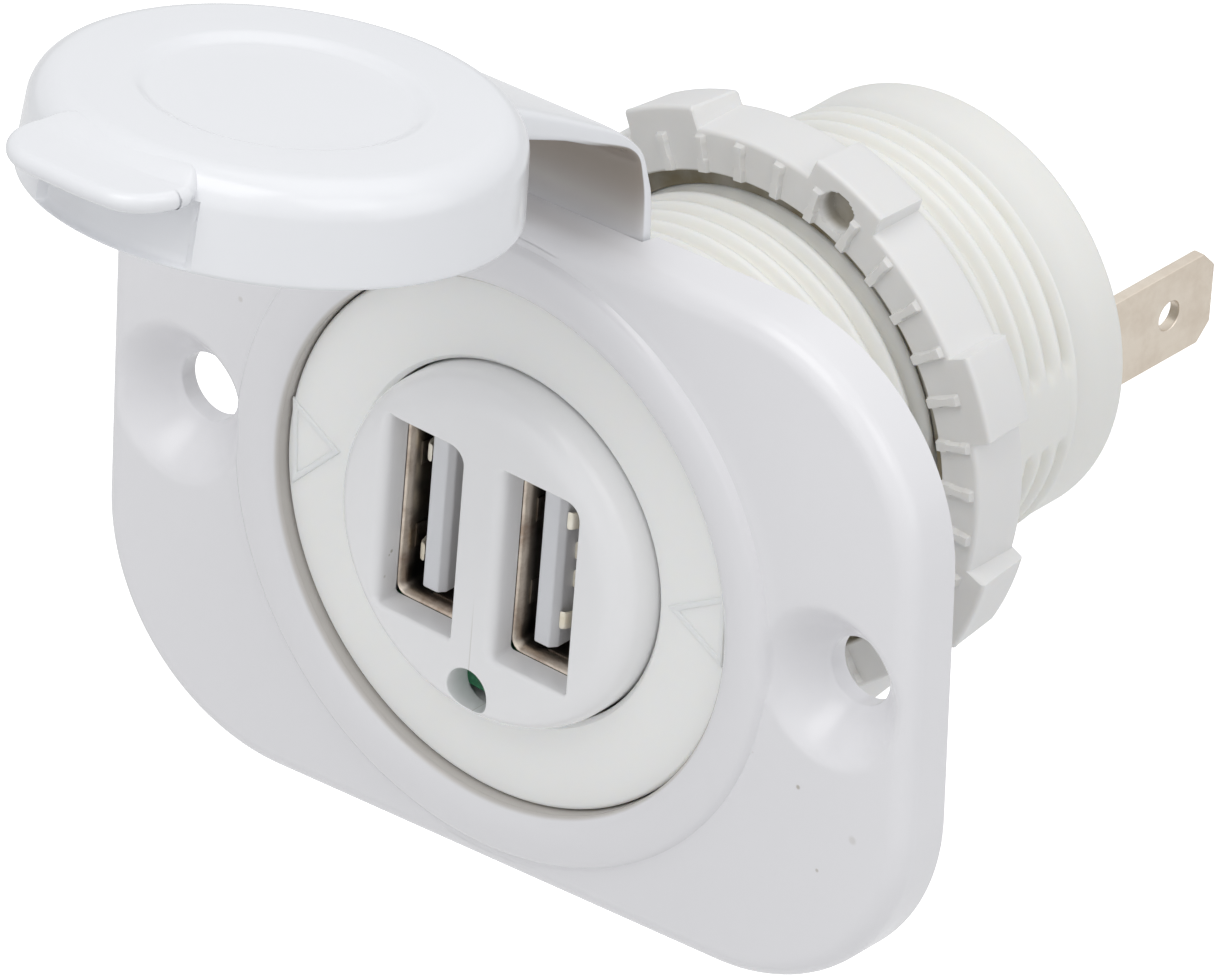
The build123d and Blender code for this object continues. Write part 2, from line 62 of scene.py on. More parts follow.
class Patches:
    """Points and faces of one surface, gathered patch by patch and each taken to its place by one function."""

    def __init__(self, placed=np.asarray):
        """Start with no points; the function takes points as drawn and gives them in their place."""
        self.placed, self.points, self.faces, self.count = placed, [], [], 0

    def grid(self, points, close_rows=False, close_columns=True, turned_over=False):
        """Add a grid of points, with a quad from each to the next in its row and the two in the next row.

        Returns the points' numbers, row by row.
        """
        rows, columns = points.shape[:2]
        down = rows if close_rows else rows - 1
        across = columns if close_columns else columns - 1
        i, j = np.meshgrid(np.arange(down), np.arange(across), indexing="ij")
        i2, j2 = (i + 1) % rows, (j + 1) % columns
        quads = np.stack([i * columns + j, i * columns + j2, i2 * columns + j2, i2 * columns + j], -1)
        quads = quads.reshape(-1, 4)
        numbers = self.count + np.arange(rows * columns).reshape(rows, columns)
        self.loose(points, quads[:, ::-1] if turned_over else quads)
        return numbers

    def loose(self, points, faces):
        """Add points, and faces that are numbered from the first of them."""
        self.faces.append(faces + self.count)
        self.points.append(self.placed(points).reshape(-1, 3))
        self.count += len(self.points[-1])


def surface(name, patches, body, stands_for=(), **choices):
    """Piece made from patches.

    Points that meet are merged, which closes seams and poles, and every face is turned over where the
    enclosed volume, a sixth of the sum of the triple products over all triangles, comes out negative.
    """
    points = np.concatenate(patches.points) * mm
    groups, volume = patches.faces, 0.0
    for group in groups:
        for k in range(1, group.shape[1] - 1):
            a, b, c = (points[group[:, corner]] for corner in (0, k, k + 1))
            volume += np.einsum("ij,ij->", a, np.cross(b, c))
    if volume < 0:
        groups = [group[:, ::-1] for group in groups]
    sizes = np.concatenate([np.full(len(group), group.shape[1]) for group in groups])
    used, corners = np.unique(np.concatenate([group.ravel() for group in groups]), return_inverse=True)
    mesh = bpy.data.meshes.new(name)
    mesh.vertices.add(len(used))
    mesh.vertices.foreach_set("co", points[used].ravel())
    mesh.loops.add(len(corners))
    mesh.loops.foreach_set("vertex_index", corners.astype(np.int32))
    mesh.polygons.add(len(sizes))
    mesh.polygons.foreach_set("loop_start", (np.cumsum(sizes) - sizes).astype(np.int32))
    mesh.polygons.foreach_set("loop_total", sizes.astype(np.int32))
    mesh.update(calc_edges=True)
    return finished(mesh, body, stands_for, **choices)


def finished(mesh, body, stands_for=(), slot=None, finish=None, crease=40, closed=False):
    """Object on a body of the frame from a mesh, its doubles merged and its shading smooth up to an angle.

    The faces of a closed mesh, which is joined from several grids, are all turned to face outwards.
    """
    shape = bmesh.new()
    shape.from_mesh(mesh)
    bmesh.ops.remove_doubles(shape, verts=shape.verts, dist=2e-7)
    if closed:
        bmesh.ops.recalc_face_normals(shape, faces=shape.faces)
    shape.to_mesh(mesh)
    shape.free()
    mesh.validate()
    mesh.shade_smooth()
    mesh.set_sharp_from_angle(angle=math.radians(crease))
    mesh.materials.clear()
    mesh.materials.append(finish)
    piece = bpy.data.objects.new(mesh.name, mesh)
    bpy.context.scene.collection.objects.link(piece)
    if body:
        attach(piece, body)
    if stands_for:
        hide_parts(*stands_for)
    return piece


def lathe(profile, angles):
    """Grid of points from a profile of (radius, depth) turned about the socket's axis through the angles."""
    profile = np.asarray(profile, float)
    r, y = profile[:, 0][:, None], profile[:, 1][:, None]
    return np.stack([r * np.cos(angles), y + 0 * angles, r * np.sin(angles)], -1)


def full_turn(count):
    """Angles of so many even steps round a circle."""
    return np.linspace(0, math.tau, count, endpoint=False)


def arc(centre, radius, start, end, steps):
    """Points (radius, depth) on an arc; 0 degrees points outwards and 90 degrees to the rear."""
    t = np.radians(np.linspace(start, end, steps))
    return np.stack([centre[0] + radius * np.cos(t), centre[1] + radius * np.sin(t)], -1)


def smooth_step(value):
    """Zero below 0, one above 1, and 3v2 - 2v3 between."""
    v = np.clip(value, 0, 1)
    return v * v * (3 - 2 * v)


def turned_with_socket(points):
    """Points turned about the socket's axis by the angle it sits off square: x cos + z sin, z cos - x sin."""
    x, y, z = points[..., 0], points[..., 1], points[..., 2]
    cos, sin = math.cos(socket_turn), math.sin(socket_turn)
    return np.stack([cos * x + sin * z, y, cos * z - sin * x], -1)


def thread_radius(angle, depth):
    """Radius of the threaded barrel.

    The valley is (half + half cos of the phase) to the power 1.3, deepest once in each pitch, and the phase
    climbs by one pitch in each turn. It fades out at both ends and over the two parting bands.
    """
    phase = (depth - 12.7) / thread_pitch - (angle - math.radians(60)) / math.tau
    valley = (0.5 + 0.5 * np.cos(math.tau * phase)) ** 1.3
    ends = smooth_step((depth - 0.2) / 1.2) * smooth_step((thread_end - depth) / 0.5)
    off_band = np.abs((angle - math.radians(2) + math.pi / 2) % math.pi - math.pi / 2)
    band = smooth_step((off_band - math.radians(8)) / math.radians(6))
    return crest_r - 0.15 * ends * (1 - band) - (crest_r - root_r) * valley * ends * band


def body_moulding():
    """Bore, flange, threaded barrel and rear end as one turned profile, swollen by the thread's radius."""
    turns = full_turn(256)
    depths = np.linspace(flange_back, thread_end, 262)
    front = [(0, bore_floor), (bore_r, bore_floor), (bore_r, 20), (bore_r, flange_face + bore_chamfer),
             (bore_r + bore_chamfer, flange_face), (14, flange_face), (15.5, flange_face)]
    front += list(arc((flange_r - flange_edge, flange_face + flange_edge), flange_edge, -90, 0, 6))
    front += [(flange_r, flange_back), (crest_r + 0.3, flange_back)]
    rear = [(rear_r + 0.05, thread_end + 0.02), (rear_r, thread_end + 0.1), (rear_r, 35.5)]
    rear += list(arc((rear_r - rear_edge, rear_end - rear_edge), rear_edge, 0, 90, 7))
    rear += [(6, rear_end), (0, rear_end)]
    barrel = lathe([(crest_r, y) for y in depths], turns)
    barrel[..., [0, 2]] *= (thread_radius(turns[None, :], depths[:, None]) / crest_r)[..., None]
    return np.concatenate([lathe(front, turns), barrel, lathe(rear, turns)])


def outline_rib(corners, width, height, base):
    """Closed low rib along a polygon in the face plane.

    Each corner is pushed along its mitre by the half width; the section is foot, rounded crest, foot, and base.
    """
    corners = np.asarray(corners, float)
    before, after = np.roll(corners, 1, 0), np.roll(corners, -1, 0)
    out_a = (corners - before)[:, ::-1] * [1, -1]
    out_b = (after - corners)[:, ::-1] * [1, -1]
    out_a /= np.linalg.norm(out_a, axis=1)[:, None]
    out_b /= np.linalg.norm(out_b, axis=1)[:, None]
    mitre = (out_a + out_b) / (1 + np.sum(out_a * out_b, 1))[:, None]
    side = np.array([-0.5, -0.42, -0.25, 0, 0.25, 0.42, 0.5, 0.5, -0.5]) * width
    rise = np.array([0, 0.6, 0.93, 1, 0.93, 0.6, 0, -0.5, -0.5]) * height
    flat = corners[None] + side[:, None, None] * mitre[None]
    return np.stack([flat[..., 0], base - np.broadcast_to(rise[:, None], flat.shape[:2]), flat[..., 1]], -1)


class Finish:
    """New node material: its principled shader, and short calls that each add a node wired to others."""

    def __init__(self, name):
        """Start with the shader alone, and the place on the piece."""
        self.material = bpy.data.materials.new(name)
        self.material.use_nodes = True
        self.tree = self.material.node_tree
        self.shader = self.tree.nodes["Principled BSDF"]
        self.place = self.node("TexCoord").outputs["Object"]

    def node(self, kind, settings=(), **inputs):
        """Node with its settings; an input is a socket or a value, under its name or i and its number."""
        node = self.tree.nodes.new("ShaderNode" + kind)
        for key, value in dict(settings).items():
            setattr(node, key, value)
        for key, value in inputs.items():
            socket = node.inputs[int(key[1:])] if key[0] == "i" and key[1:].isdigit() else node.inputs[key]
            if isinstance(value, bpy.types.NodeSocket):
                self.tree.links.new(value, socket)
            else:
                socket.default_value = value
        return node

    def maths(self, operation, first, second, **settings):
        """Result of an operation on two numbers."""
        return self.node("Math", {"operation": operation, **settings}, i0=first, i1=second).outputs[0]

    def ramp(self, value, low, high, at_low, at_high, kind="SMOOTHSTEP"):
        """Number that runs from one value at low to another at high, and stays the same beyond them."""
        return self.node("MapRange", {"interpolation_type": kind}, i0=value, i1=low, i2=high,
                         i3=at_low, i4=at_high).outputs[0]

    def mix(self, share, first, second):
        """The first colour, or by its share the second."""
        first, second = ((*c, 1) if isinstance(c, tuple) else c for c in (first, second))
        return self.node("Mix", {"data_type": "RGBA"}, i0=share, i6=first, i7=second).outputs[2]

    def noise(self, scale, detail):
        """Soft noise over the piece, by its number of patches in a metre."""
        return self.node("TexNoise", Vector=self.place, Scale=scale, Detail=detail).outputs["Fac"]

    def along(self, axis):
        """Distance along one axis."""
        return self.node("SeparateXYZ", Vector=self.place).outputs[axis]

    def off_axis(self):
        """Distance from the socket's axis."""
        flat = self.node("CombineXYZ", X=self.along("X"), Z=self.along("Z")).outputs[0]
        return self.node("VectorMath", {"operation": "LENGTH"}, i0=flat).outputs["Value"]

    def wire(self, colour, roughness, height=None, strength=1.0, depth=0.0):
        """Lead a colour, a roughness and a bump of a depth in millimetres to the shader."""
        self.tree.links.new(colour, self.shader.inputs["Base Color"])
        self.tree.links.new(roughness, self.shader.inputs["Roughness"])
        if height:
            bump = self.node("Bump", Strength=strength, Distance=depth * mm, Height=height).outputs[0]
            self.tree.links.new(bump, self.shader.inputs["Normal"])
        return self.material

    def fix(self, **values):
        """Set inputs of the shader that are the same all over, their names' spaces written as underscores."""
        for name, value in values.items():
            self.shader.inputs[name.replace("_", " ")].default_value = value


def moulded_plastic(name, colour, tint, roughness, peel, shade_and_grime, speck_cells, stain=None, depth_glow=0.0,
                    painted_lit_front=None):
    """Moulded white plastic.

    Colour and roughness drift together between two close values, a faint moulding grain comes from fine noise,
    and a few small dark specks are cut from the cells of a Voronoi pattern. A stain is a function that returns
    a mask, painted shade on some pieces and real marks on others, laid in the shade and grime colour that also
    colours the specks. Depth glow is how much light passes a little way into the plastic. The painted lit front
    gives a depth and a paler colour painted in front of that depth as painted light.
    """
    look = Finish(name)
    drift = look.noise(90.0, 3.0)
    tone = look.mix(drift, colour, tint)
    # Painted light: a paler colour painted on in front of a given depth.
    if painted_lit_front:
        edge, lit_colour = painted_lit_front
        front = look.ramp(look.along("Y"), edge * mm, (edge + 0.4) * mm, 1.0, 0.0, "LINEAR")
        tone = look.mix(front, tone, lit_colour)
    cells = look.node("TexVoronoi", {"feature": "F1"}, Vector=look.place, Scale=speck_cells, Randomness=1.0)
    chance = look.node("SeparateColor", Color=cells.outputs["Color"]).outputs
    size = look.ramp(chance[1], 0.0, 1.0, 0.012, 0.03, "LINEAR")
    near = look.ramp(look.maths("SUBTRACT", size, cells.outputs["Distance"]), 0.0, 0.012, 0.0, 1.0)
    speck = look.maths("MULTIPLY", near, look.maths("GREATER_THAN", chance[0], 0.93))
    faint = look.maths("MULTIPLY", speck, look.ramp(chance[2], 0.0, 1.0, 0.25, 0.8, "LINEAR"))
    if stain:
        tone = look.mix(stain(look), tone, shade_and_grime)
    tone = look.mix(faint, tone, tuple(part * share for part, share in zip(shade_and_grime, (0.35, 0.33, 0.3))))
    rough = look.ramp(drift, 0.3, 0.7, *roughness, "LINEAR")
    look.fix(IOR=1.5, Subsurface_Weight=depth_glow, Subsurface_Radius=(1.0, 0.85, 0.65),
             Subsurface_Scale=0.9 * mm)
    depth, strength = peel
    return look.wire(tone, rough, look.noise(2200.0, 2.0), strength, depth)


def body_valley_shade(look):
    """Mask of painted shade, a darker cream in the thread's valleys, by distance from the barrel's axis."""
    valley = look.ramp(look.off_axis(), root_r * mm, crest_r * mm, 0.22, 0.0, "LINEAR")
    return look.maths("MULTIPLY", valley, look.ramp(look.along("Y"), -2 * mm, -1 * mm, 0.0, 1.0, "LINEAR"))


# The flange in front of depth -2.6 is painted paler, as painted light, and the thread's valleys darker, as
# painted shade.
body_nylon = moulded_plastic("body_nylon", (0.872, 0.872, 0.846), (0.85, 0.85, 0.82), (0.40, 0.48),
                             (0.004, 0.5), (0.72, 0.68, 0.56), 190.0, body_valley_shade, 0.3,
                             (-2.6, (0.955, 0.96, 0.935)))
moulding = Patches(turned_with_socket)
moulding.grid(body_moulding())
surface("moulded_body", moulding, "socket", ["socket_body"], slot="socket_white", finish=body_nylon)
marks = Patches(turned_with_socket)
for triangle in flange_triangles:
    marks.grid(outline_rib(triangle, mark_width, mark_height, flange_face), True)
surface("flange_marks", marks, "socket", slot="socket_white", finish=body_nylon)


# Face insert: a white cup pressed into the body, with a rounded front, two port mouths and the lamp
# hole. Each mouth rolls in softly at its left side and has one round corner at its upper right.
# The cup is 11.65 mm in radius and its front is 2 mm thick; it is glossier than the flange round it.
insert_r, insert_face, insert_round, insert_skirt, insert_end = 11.65, -6.7, 2.2, 0.6, 7.2
shell_front, port_rise, port_places = -4.7, 0.25, {"left": -4.55, "right": 4.55}
mouth_half_x, mouth_half_z = 2.95, 6.65
mouth_corners = (1.1, 0.3, 0.3, 0.3)
mouth_lips = (0.22, 0.16, 0.75, 0.3)
lamp_hole_r, lamp_hole_z, lamp_hole_lip = 1.55, -9.4, 0.12
dome_radii = [*np.arange(0.7, 9.2, 0.7), 9.6, 9.95, 10.3, 10.6, 10.85, 11.05, 11.2]
insert_turns = 180
insert_specks = ((-10.5, -6.55, -3.2, 0.15, 0.7), (-7.6, -5.4, -2.9, 0.14, 0.7), (-7.6, -5.9, -4.5, 0.15, 0.7),
                 (-7.6, -5.6, -3.1, 0.1, 0.6))


def dome_depth(x, z):
    """Depth of the insert's front: flat, with a quarter circle of 2.2 mm radius round its edge."""
    over = np.clip(np.hypot(x, z) - (insert_r - insert_round), 0, insert_round)
    return insert_face + insert_round - np.sqrt(insert_round ** 2 - over ** 2)


def joined_corners(corners, spans):
    """Ring of corner arcs with so many points between each and the next, on a straight line."""
    ring = []
    for quarter, span in enumerate(spans):
        start, end = corners[quarter][-1], corners[(quarter + 1) % 4][0]
        step = np.linspace(0, 1, span + 2)[1:-1].reshape(-1, *[1] * np.ndim(start))
        ring += [corners[quarter], start + (end - start) * step]
    return np.concatenate(ring)


def mouth_outline(x, grow):
    """Outline of a port mouth and the lip's width at each point.

    Going round from the right side over the top, each side lies at its half size plus grow times its lip, and
    each corner is an arc of its own radius plus grow times the mean of its two lips.
    """
    right, top, left, foot = mouth_lips
    sides = ((1, 1, right, top), (-1, 1, left, top), (-1, -1, left, foot), (1, -1, right, foot))
    turn = np.linspace(0, math.pi / 2, 9)
    points, lips = [], []
    for quarter, (sx, sz, lip_x, lip_z) in enumerate(sides):
        radius = mouth_corners[quarter] + grow * (lip_x + lip_z) / 2
        cx = sx * (mouth_half_x + grow * lip_x - radius)
        cz = sz * (mouth_half_z + grow * lip_z - radius)
        along = turn + quarter * math.pi / 2
        points.append(np.stack([cx + radius * np.cos(along), cz + radius * np.sin(along)], -1))
        across = np.abs(np.cos(along)) ** 2
        lips.append(lip_x * across + lip_z * (1 - across))
    spans = (14, 34, 14, 34)
    return joined_corners(points, spans) + (x, port_rise), joined_corners(lips, spans)


def circle_outline(radius, z, count):
    """Circle of points in the face plane."""
    turn = full_turn(count)
    return np.stack([radius * np.cos(turn), z + radius * np.sin(turn)], -1)


def lamp_outline(grow):
    """Outline of the lamp hole, wider by grow times its lip."""
    return circle_outline(lamp_hole_r + grow * lamp_hole_lip, lamp_hole_z, 48)


def within(points, outline):
    """Whether each point lies inside a closed outline: an odd number of its edges pass to the point's right."""
    ax, az = outline.T[:, :, None]
    bx, bz = np.roll(outline, -1, 0).T[:, :, None]
    px, pz = points.T
    spans = (az > pz) != (bz > pz)
    crossing = ax + (pz - az) * (bx - ax) / np.where(bz == az, 1e-12, bz - az)
    return (spans & (crossing > px)).sum(0) % 2 == 1


def pierced_disc(radii, openings, depth):
    """Disc with openings, as points and triangles.

    Rings of points and the outlines of the openings are joined by a constrained Delaunay triangulation, and
    the triangles inside an opening are left out. The depth function gives each point its y.
    """
    rim = circle_outline(radii[-1], 0, insert_turns)
    counts = [max(12, int(insert_turns * min(1, r / radii[-1] + 0.1))) for r in radii[:-1]]
    inner = np.concatenate([circle_outline(r, 0, count) for r, count in zip(radii, counts)])
    clear = np.ones(len(inner), bool)
    for outline in openings:
        away = np.hypot(*(inner[:, None] - outline[None]).T).min(0)
        clear &= ~within(inner, outline) & (away > 0.16)
    edges, first = [], 0
    for outline in [rim] + openings:
        edges += [(first + k, first + (k + 1) % len(outline)) for k in range(len(outline))]
        first += len(outline)
    flat = np.concatenate([rim, *openings, inner[clear]])
    joined = delaunay_2d_cdt([Vector(p) for p in flat], edges, [], 0, 1e-6, False)
    flat, triangles = np.array([tuple(p) for p in joined[0]]), np.array(joined[2])
    for outline in openings:
        triangles = triangles[~within(flat[triangles].mean(1), outline)]
    return np.stack([flat[:, 0], depth(flat[:, 0], flat[:, 1]), flat[:, 1]], -1), triangles


def opening_wall(outline_at, lips):
    """Rows from an opening's outer edge on the front over its quarter-round lip to its inner edge behind."""
    rows = []
    for turn in np.linspace(0, math.pi / 2, 8):
        x, z = outline_at(1 - math.sin(turn)).T
        rows.append(np.stack([x, dome_depth(x, z) + lips * (1 - math.cos(turn)), z], -1))
    x, y, z = rows[-1].T
    for t in (0.35, 0.7, 1.0):
        rows.append(np.stack([x, y + (shell_front - y) * t, z], -1))
    return np.stack(rows)


def insert_skirt_profile():
    """Profile from the dome's last ring over its round edge, down the skirt and back up inside it."""
    first = math.degrees(math.asin((dome_radii[-1] - insert_r + insert_round) / insert_round))
    profile = list(arc((insert_r - insert_round, insert_face + insert_round), insert_round, first - 90, 0, 7))
    profile += [(insert_r, y) for y in (-3, 0, 3, insert_end)]
    return profile + [(insert_r - insert_skirt, y) for y in (insert_end, 3, 0, -3, shell_front)]


def marks_at(look, marks):
    """Mask of small round marks, each given by its x, y, z, size and strength."""
    total = None
    for x, y, z, size, strength in marks:
        away = look.node("VectorMath", {"operation": "DISTANCE"}, i0=look.place, i1=(x * mm, y * mm, z * mm))
        spot = look.ramp(away.outputs["Value"], 0.4 * size * mm, 1.3 * size * mm, strength, 0.0)
        total = spot if total is None else look.maths("MAXIMUM", total, spot)
    return total


def insert_stain(look):
    """Mask of the mould's fine line from the middle down to the lamp hole, and of four small specks."""
    height = look.along("Z")
    middle = look.node("MapRange", {"clamp": False}, i0=height, i1=0.0, i2=-10 * mm, i3=0.08 * mm,
                       i4=-0.39 * mm).outputs[0]
    off_line = look.maths("ABSOLUTE", look.maths("SUBTRACT", look.along("X"), middle), 0.0)
    line = look.ramp(off_line, 0.01 * mm, 0.07 * mm, 0.3, 0.0)
    seam = look.maths("MULTIPLY", line, look.ramp(height, -6 * mm, -2 * mm, 1.0, 0.0))
    return look.maths("MAXIMUM", seam, marks_at(look, insert_specks))


# The insert's white is paler than the plate's: painted light that lifts it out of the shade under the cap.
insert_white = moulded_plastic("insert_plastic", (0.93, 0.93, 0.935), (0.91, 0.91, 0.92), (0.21, 0.265),
                               (0.003, 0.35), (0.4, 0.38, 0.3), 160.0, insert_stain)
insert = Patches(turned_with_socket)
mouths = [mouth_outline(x, 1)[0] for x in port_places.values()]
insert.loose(*pierced_disc(dome_radii, mouths + [lamp_outline(1)], dome_depth))
for x in port_places.values():
    insert.grid(opening_wall(lambda grow, x=x: mouth_outline(x, grow)[0], mouth_outline(x, 1)[1]))
insert.grid(opening_wall(lamp_outline, lamp_hole_lip))
insert.grid(lathe(insert_skirt_profile(), full_turn(insert_turns)))
mouths = [mouth_outline(x, 0)[0] for x in port_places.values()]
points, triangles = pierced_disc([2, 4, 6, 8, 10, insert_r - insert_skirt], mouths + [lamp_outline(0)],
                                 lambda x, z: shell_front + 0 * x)
insert.loose(points, triangles[:, ::-1])
surface("port_face", insert, "socket", ["face_insert"], slot="insert_white", finish=insert_white, crease=50,
        closed=True)


# USB receptacles: a folded nickel-plated shell with a lip and sprung fingers, a white tongue with four
# contacts, and the base that carries it, all standing on the board behind the face.
shell_half_x, shell_half_z, shell_corner, shell_metal, shell_back = 2.85, 6.55, 0.7, 0.3, 7.2
finger_width, finger_length, finger_bow = 1.7, 6.4, 0.34
finger_places = (("x", -2.9), ("x", 2.9), ("z", 0.0))
contact_front, contact_half = -4.1, 0.6
contact_places = ((-3.5, 0), (-1.0, 1.0), (1.0, 1.0), (3.5, 0))
tongue_faces = {"left": (-4.55 - 0.5 - 0.92, -1), "right": (4.55 - 0.8 + 0.92, 1)}


def softened(node_name, name, lip, steps, **choices):
    """Copy of a CAD node, its loose triangles merged into faces, with every hard edge rounded by a bevel."""
    mesh = nodes[node_name].data.copy()
    mesh.name = name
    shape = bmesh.new()
    shape.from_mesh(mesh)
    bmesh.ops.remove_doubles(shape, verts=shape.verts, dist=1e-7)
    bmesh.ops.dissolve_limit(shape, angle_limit=math.radians(1), verts=shape.verts, edges=shape.edges)
    shape.to_mesh(mesh)
    shape.free()
    piece = finished(mesh, "socket", [node_name], **choices)
    bevel = piece.modifiers.new("lip", "BEVEL")
    bevel.width, bevel.segments, bevel.limit_method = lip * mm, steps, "ANGLE"
    bevel.angle_limit = math.radians(32)
    bevel.miter_outer = "MITER_ARC"
    bevel.use_clamp_overlap = True
    bevel.harden_normals = True


def rounded_outline(half_x, half_z, corner, inset, across, down, bend):
    """Points round a rounded rectangle moved inwards by an inset, which also shrinks its corner radius."""
    radius = max(corner - inset, 0.02)
    cx, cz = half_x - inset - radius, half_z - inset - radius
    corners = []
    for quarter, (sx, sz) in enumerate(((1, 1), (-1, 1), (-1, -1), (1, -1))):
        turn = np.linspace(0, math.pi / 2, bend) + quarter * math.pi / 2
        corners.append(np.stack([sx * cx + radius * np.cos(turn), sz * cz + radius * np.sin(turn)], -1))
    return joined_corners(corners, (across, down, across, down))


def capped(grid):
    """Grid with its first and its last row closed to their middle points."""
    ends = [row.mean(1, keepdims=True).repeat(grid.shape[1], 1) for row in (grid[:1], grid[-1:])]
    return np.concatenate([ends[0], grid, ends[1]])


def slab_section(count, half_width, half_thickness, width_power, thickness_power):
    """Section of a slab with rounded sides: the cosine and sine of an even turn, each to a small power."""
    turn = full_turn(count)
    across = np.sign(np.cos(turn)) * np.abs(np.cos(turn)) ** width_power
    through = np.sign(np.sin(turn)) * np.abs(np.sin(turn)) ** thickness_power
    return half_width * across, half_thickness * through


def tube_shell(x):
    """Folded shell: the outline carried up the outside, over a flared lip and down the bevelled inside."""
    lip = [(0, 0.6), (-0.02, 0.35), (-0.07, 0.12), (-0.085, 0.05), (-0.06, 0.01), (-0.01, 0.0), (0.04, 0.03),
           (0.12, 0.16), (0.21, 0.33), (0.28, 0.5), (0.30, 0.65)]
    rows = [(0, shell_back)] + [(0, y) for y in np.linspace(shell_back - 1, shell_front + 1, 8)]
    rows += [(inset, shell_front + back) for inset, back in lip]
    rows += [(shell_metal, y) for y in np.linspace(shell_front + 1, shell_back, 10)]
    grid = []
    for inset, depth in rows:
        flat = rounded_outline(shell_half_x, shell_half_z, shell_corner, inset, 6, 14, 5)
        grid.append(np.stack([flat[:, 0] + x, np.full(len(flat), depth), flat[:, 1] + port_rise], -1))
    return np.stack(grid)


def spring_finger(x, offset, side, axis):
    """Sprung finger cut from a shell wall.

    Along its length it bows inwards by the sine of its run, and its section is a thin slab with rounded sides.
    """
    run = np.linspace(0, 1, 25)
    width, thick = slab_section(12, finger_width / 2, 0.11, 0.35, 0.6)
    bow = finger_bow * np.sin(math.pi * run) ** 1.5
    wall = (shell_half_x if axis == "x" else shell_half_z) - shell_metal + 0.02
    inward = side * (wall - bow[:, None] - thick[None, :])
    across = width[None, :] * (1 - 0.25 * run)[:, None]
    y = np.broadcast_to((shell_front + 1.0 + finger_length * run)[:, None], across.shape)
    if axis == "x":
        return capped(np.stack([x + inward, y, port_rise + offset + across], -1))
    return capped(np.stack([x + offset + across, y, port_rise + inward], -1))


def contact_strip(face_x, outward, front, height):
    """One sprung contact on a tongue's face.

    It rises in a blunt nose, bows out by the sine of its run to the power 0.45 and lies flat behind the bow;
    its section is a thin slab with rounded sides.
    """
    run = np.concatenate([np.linspace(0, 0.06, 6), np.linspace(0.09, 1, 20)])
    rise = 0.5 * np.clip(np.sin(math.pi * np.minimum(run / 0.9, 1)), 0, 1) ** 0.45
    wide, thick = slab_section(10, contact_half, 0.11, 0.4, 0.6)
    out = 0.12 + rise[:, None] + thick[None, :]
    y = np.broadcast_to((front + 3.0 * run)[:, None], out.shape)
    return capped(np.stack([face_x + outward * out, y, height + np.broadcast_to(wide, out.shape)], -1))


def plated_metal(name, colour, tarnish, roughness, streak, shade_from=None, metallic=1.0):
    """Plated sheet metal: fine rolling streaks along the depth, a blotchy tarnish and uneven roughness.

    Where a depth is given for painted shade, the metal is painted near black within a millimetre behind it.
    """
    look = Finish(name)
    stretched = look.node("Mapping", Vector=look.place, Scale=(900.0, 60.0, 900.0)).outputs[0]
    lines = look.node("TexNoise", Vector=stretched, Scale=1.0, Detail=3.0).outputs["Fac"]
    cloud = look.node("TexNoise", Vector=look.place, Scale=420.0, Detail=5.0, Roughness=0.65).outputs["Fac"]
    tone = look.mix(look.ramp(cloud, 0.42, 0.68, 0.0, 0.85, "LINEAR"), colour, tarnish)
    # Painted shade: near black behind the given depth.
    if shade_from is not None:
        deep = look.ramp(look.along("Y"), shade_from * mm, (shade_from + 1) * mm, 0.0, 0.9)
        tone = look.mix(deep, tone, (0.03, 0.024, 0.02))
    look.fix(Metallic=metallic)
    return look.wire(tone, look.ramp(lines, 0.3, 0.7, *roughness, "LINEAR"), lines, 1.0, streak)


# The shell is painted near black from just behind its lip: painted shade inside the port.
shell_nickel = plated_metal("shell_nickel", (0.62, 0.55, 0.47), (0.26, 0.18, 0.13), (0.29, 0.44), 0.006,
                            shell_front + 0.35)
tongue_plastic = moulded_plastic("tongue_plastic", (0.80, 0.81, 0.83), (0.76, 0.77, 0.80), (0.4, 0.5),
                                 (0.003, 0.5), (0.4, 0.36, 0.28), 120.0)
contact_gold = plated_metal("contact_gold", (0.93, 0.89, 0.78), (0.80, 0.72, 0.55), (0.35, 0.5), 0.003,
                            metallic=0.35)
for name, x in port_places.items():
    shell = Patches(turned_with_socket)
    shell.grid(tube_shell(x), True)
    for side in (-1, 1):
        for axis, offset in finger_places:
            shell.grid(spring_finger(x, offset, side, axis))
    surface("receptacle_shell_" + name, shell, "socket", ["usb_shell_" + name], slot="nickel_shell",
            finish=shell_nickel, closed=True)
    softened("usb_tongue_" + name, "receptacle_tongue_" + name, 0.12, 3, slot="tongue_white",
             finish=tongue_plastic)
    contacts = Patches(turned_with_socket)
    face_x, outward = tongue_faces[name]
    for height, set_back in contact_places:
        contacts.grid(contact_strip(face_x, outward, contact_front + set_back, port_rise + height))
    surface("receptacle_contacts_" + name, contacts, "socket", ["usb_contacts_" + name], slot="contact_metal",
            finish=contact_gold, closed=True)


# Boards and converter parts inside the barrel: green fibreglass boards, tinned pins, a wound ferrite
# choke, two can capacitors, a chip and a diode. Only the lamp's board shows, through its hole.
def lacquered_board(name, colour, under):
    """Fibreglass board: its weave shows as a fine crossed pattern under a glossy green lacquer."""
    look = Finish(name)
    warp, weft = (look.node("TexWave", {"wave_type": "BANDS", "bands_direction": axis}, Vector=look.place,
                            Scale=700.0).outputs["Fac"] for axis in "XZ")
    weave = look.maths("MULTIPLY", warp, weft)
    rough = look.ramp(look.noise(300.0, 3.0), 0.3, 0.7, 0.28, 0.4, "LINEAR")
    return look.wire(look.mix(weave, colour, under), rough, weave, 0.5, 0.01)


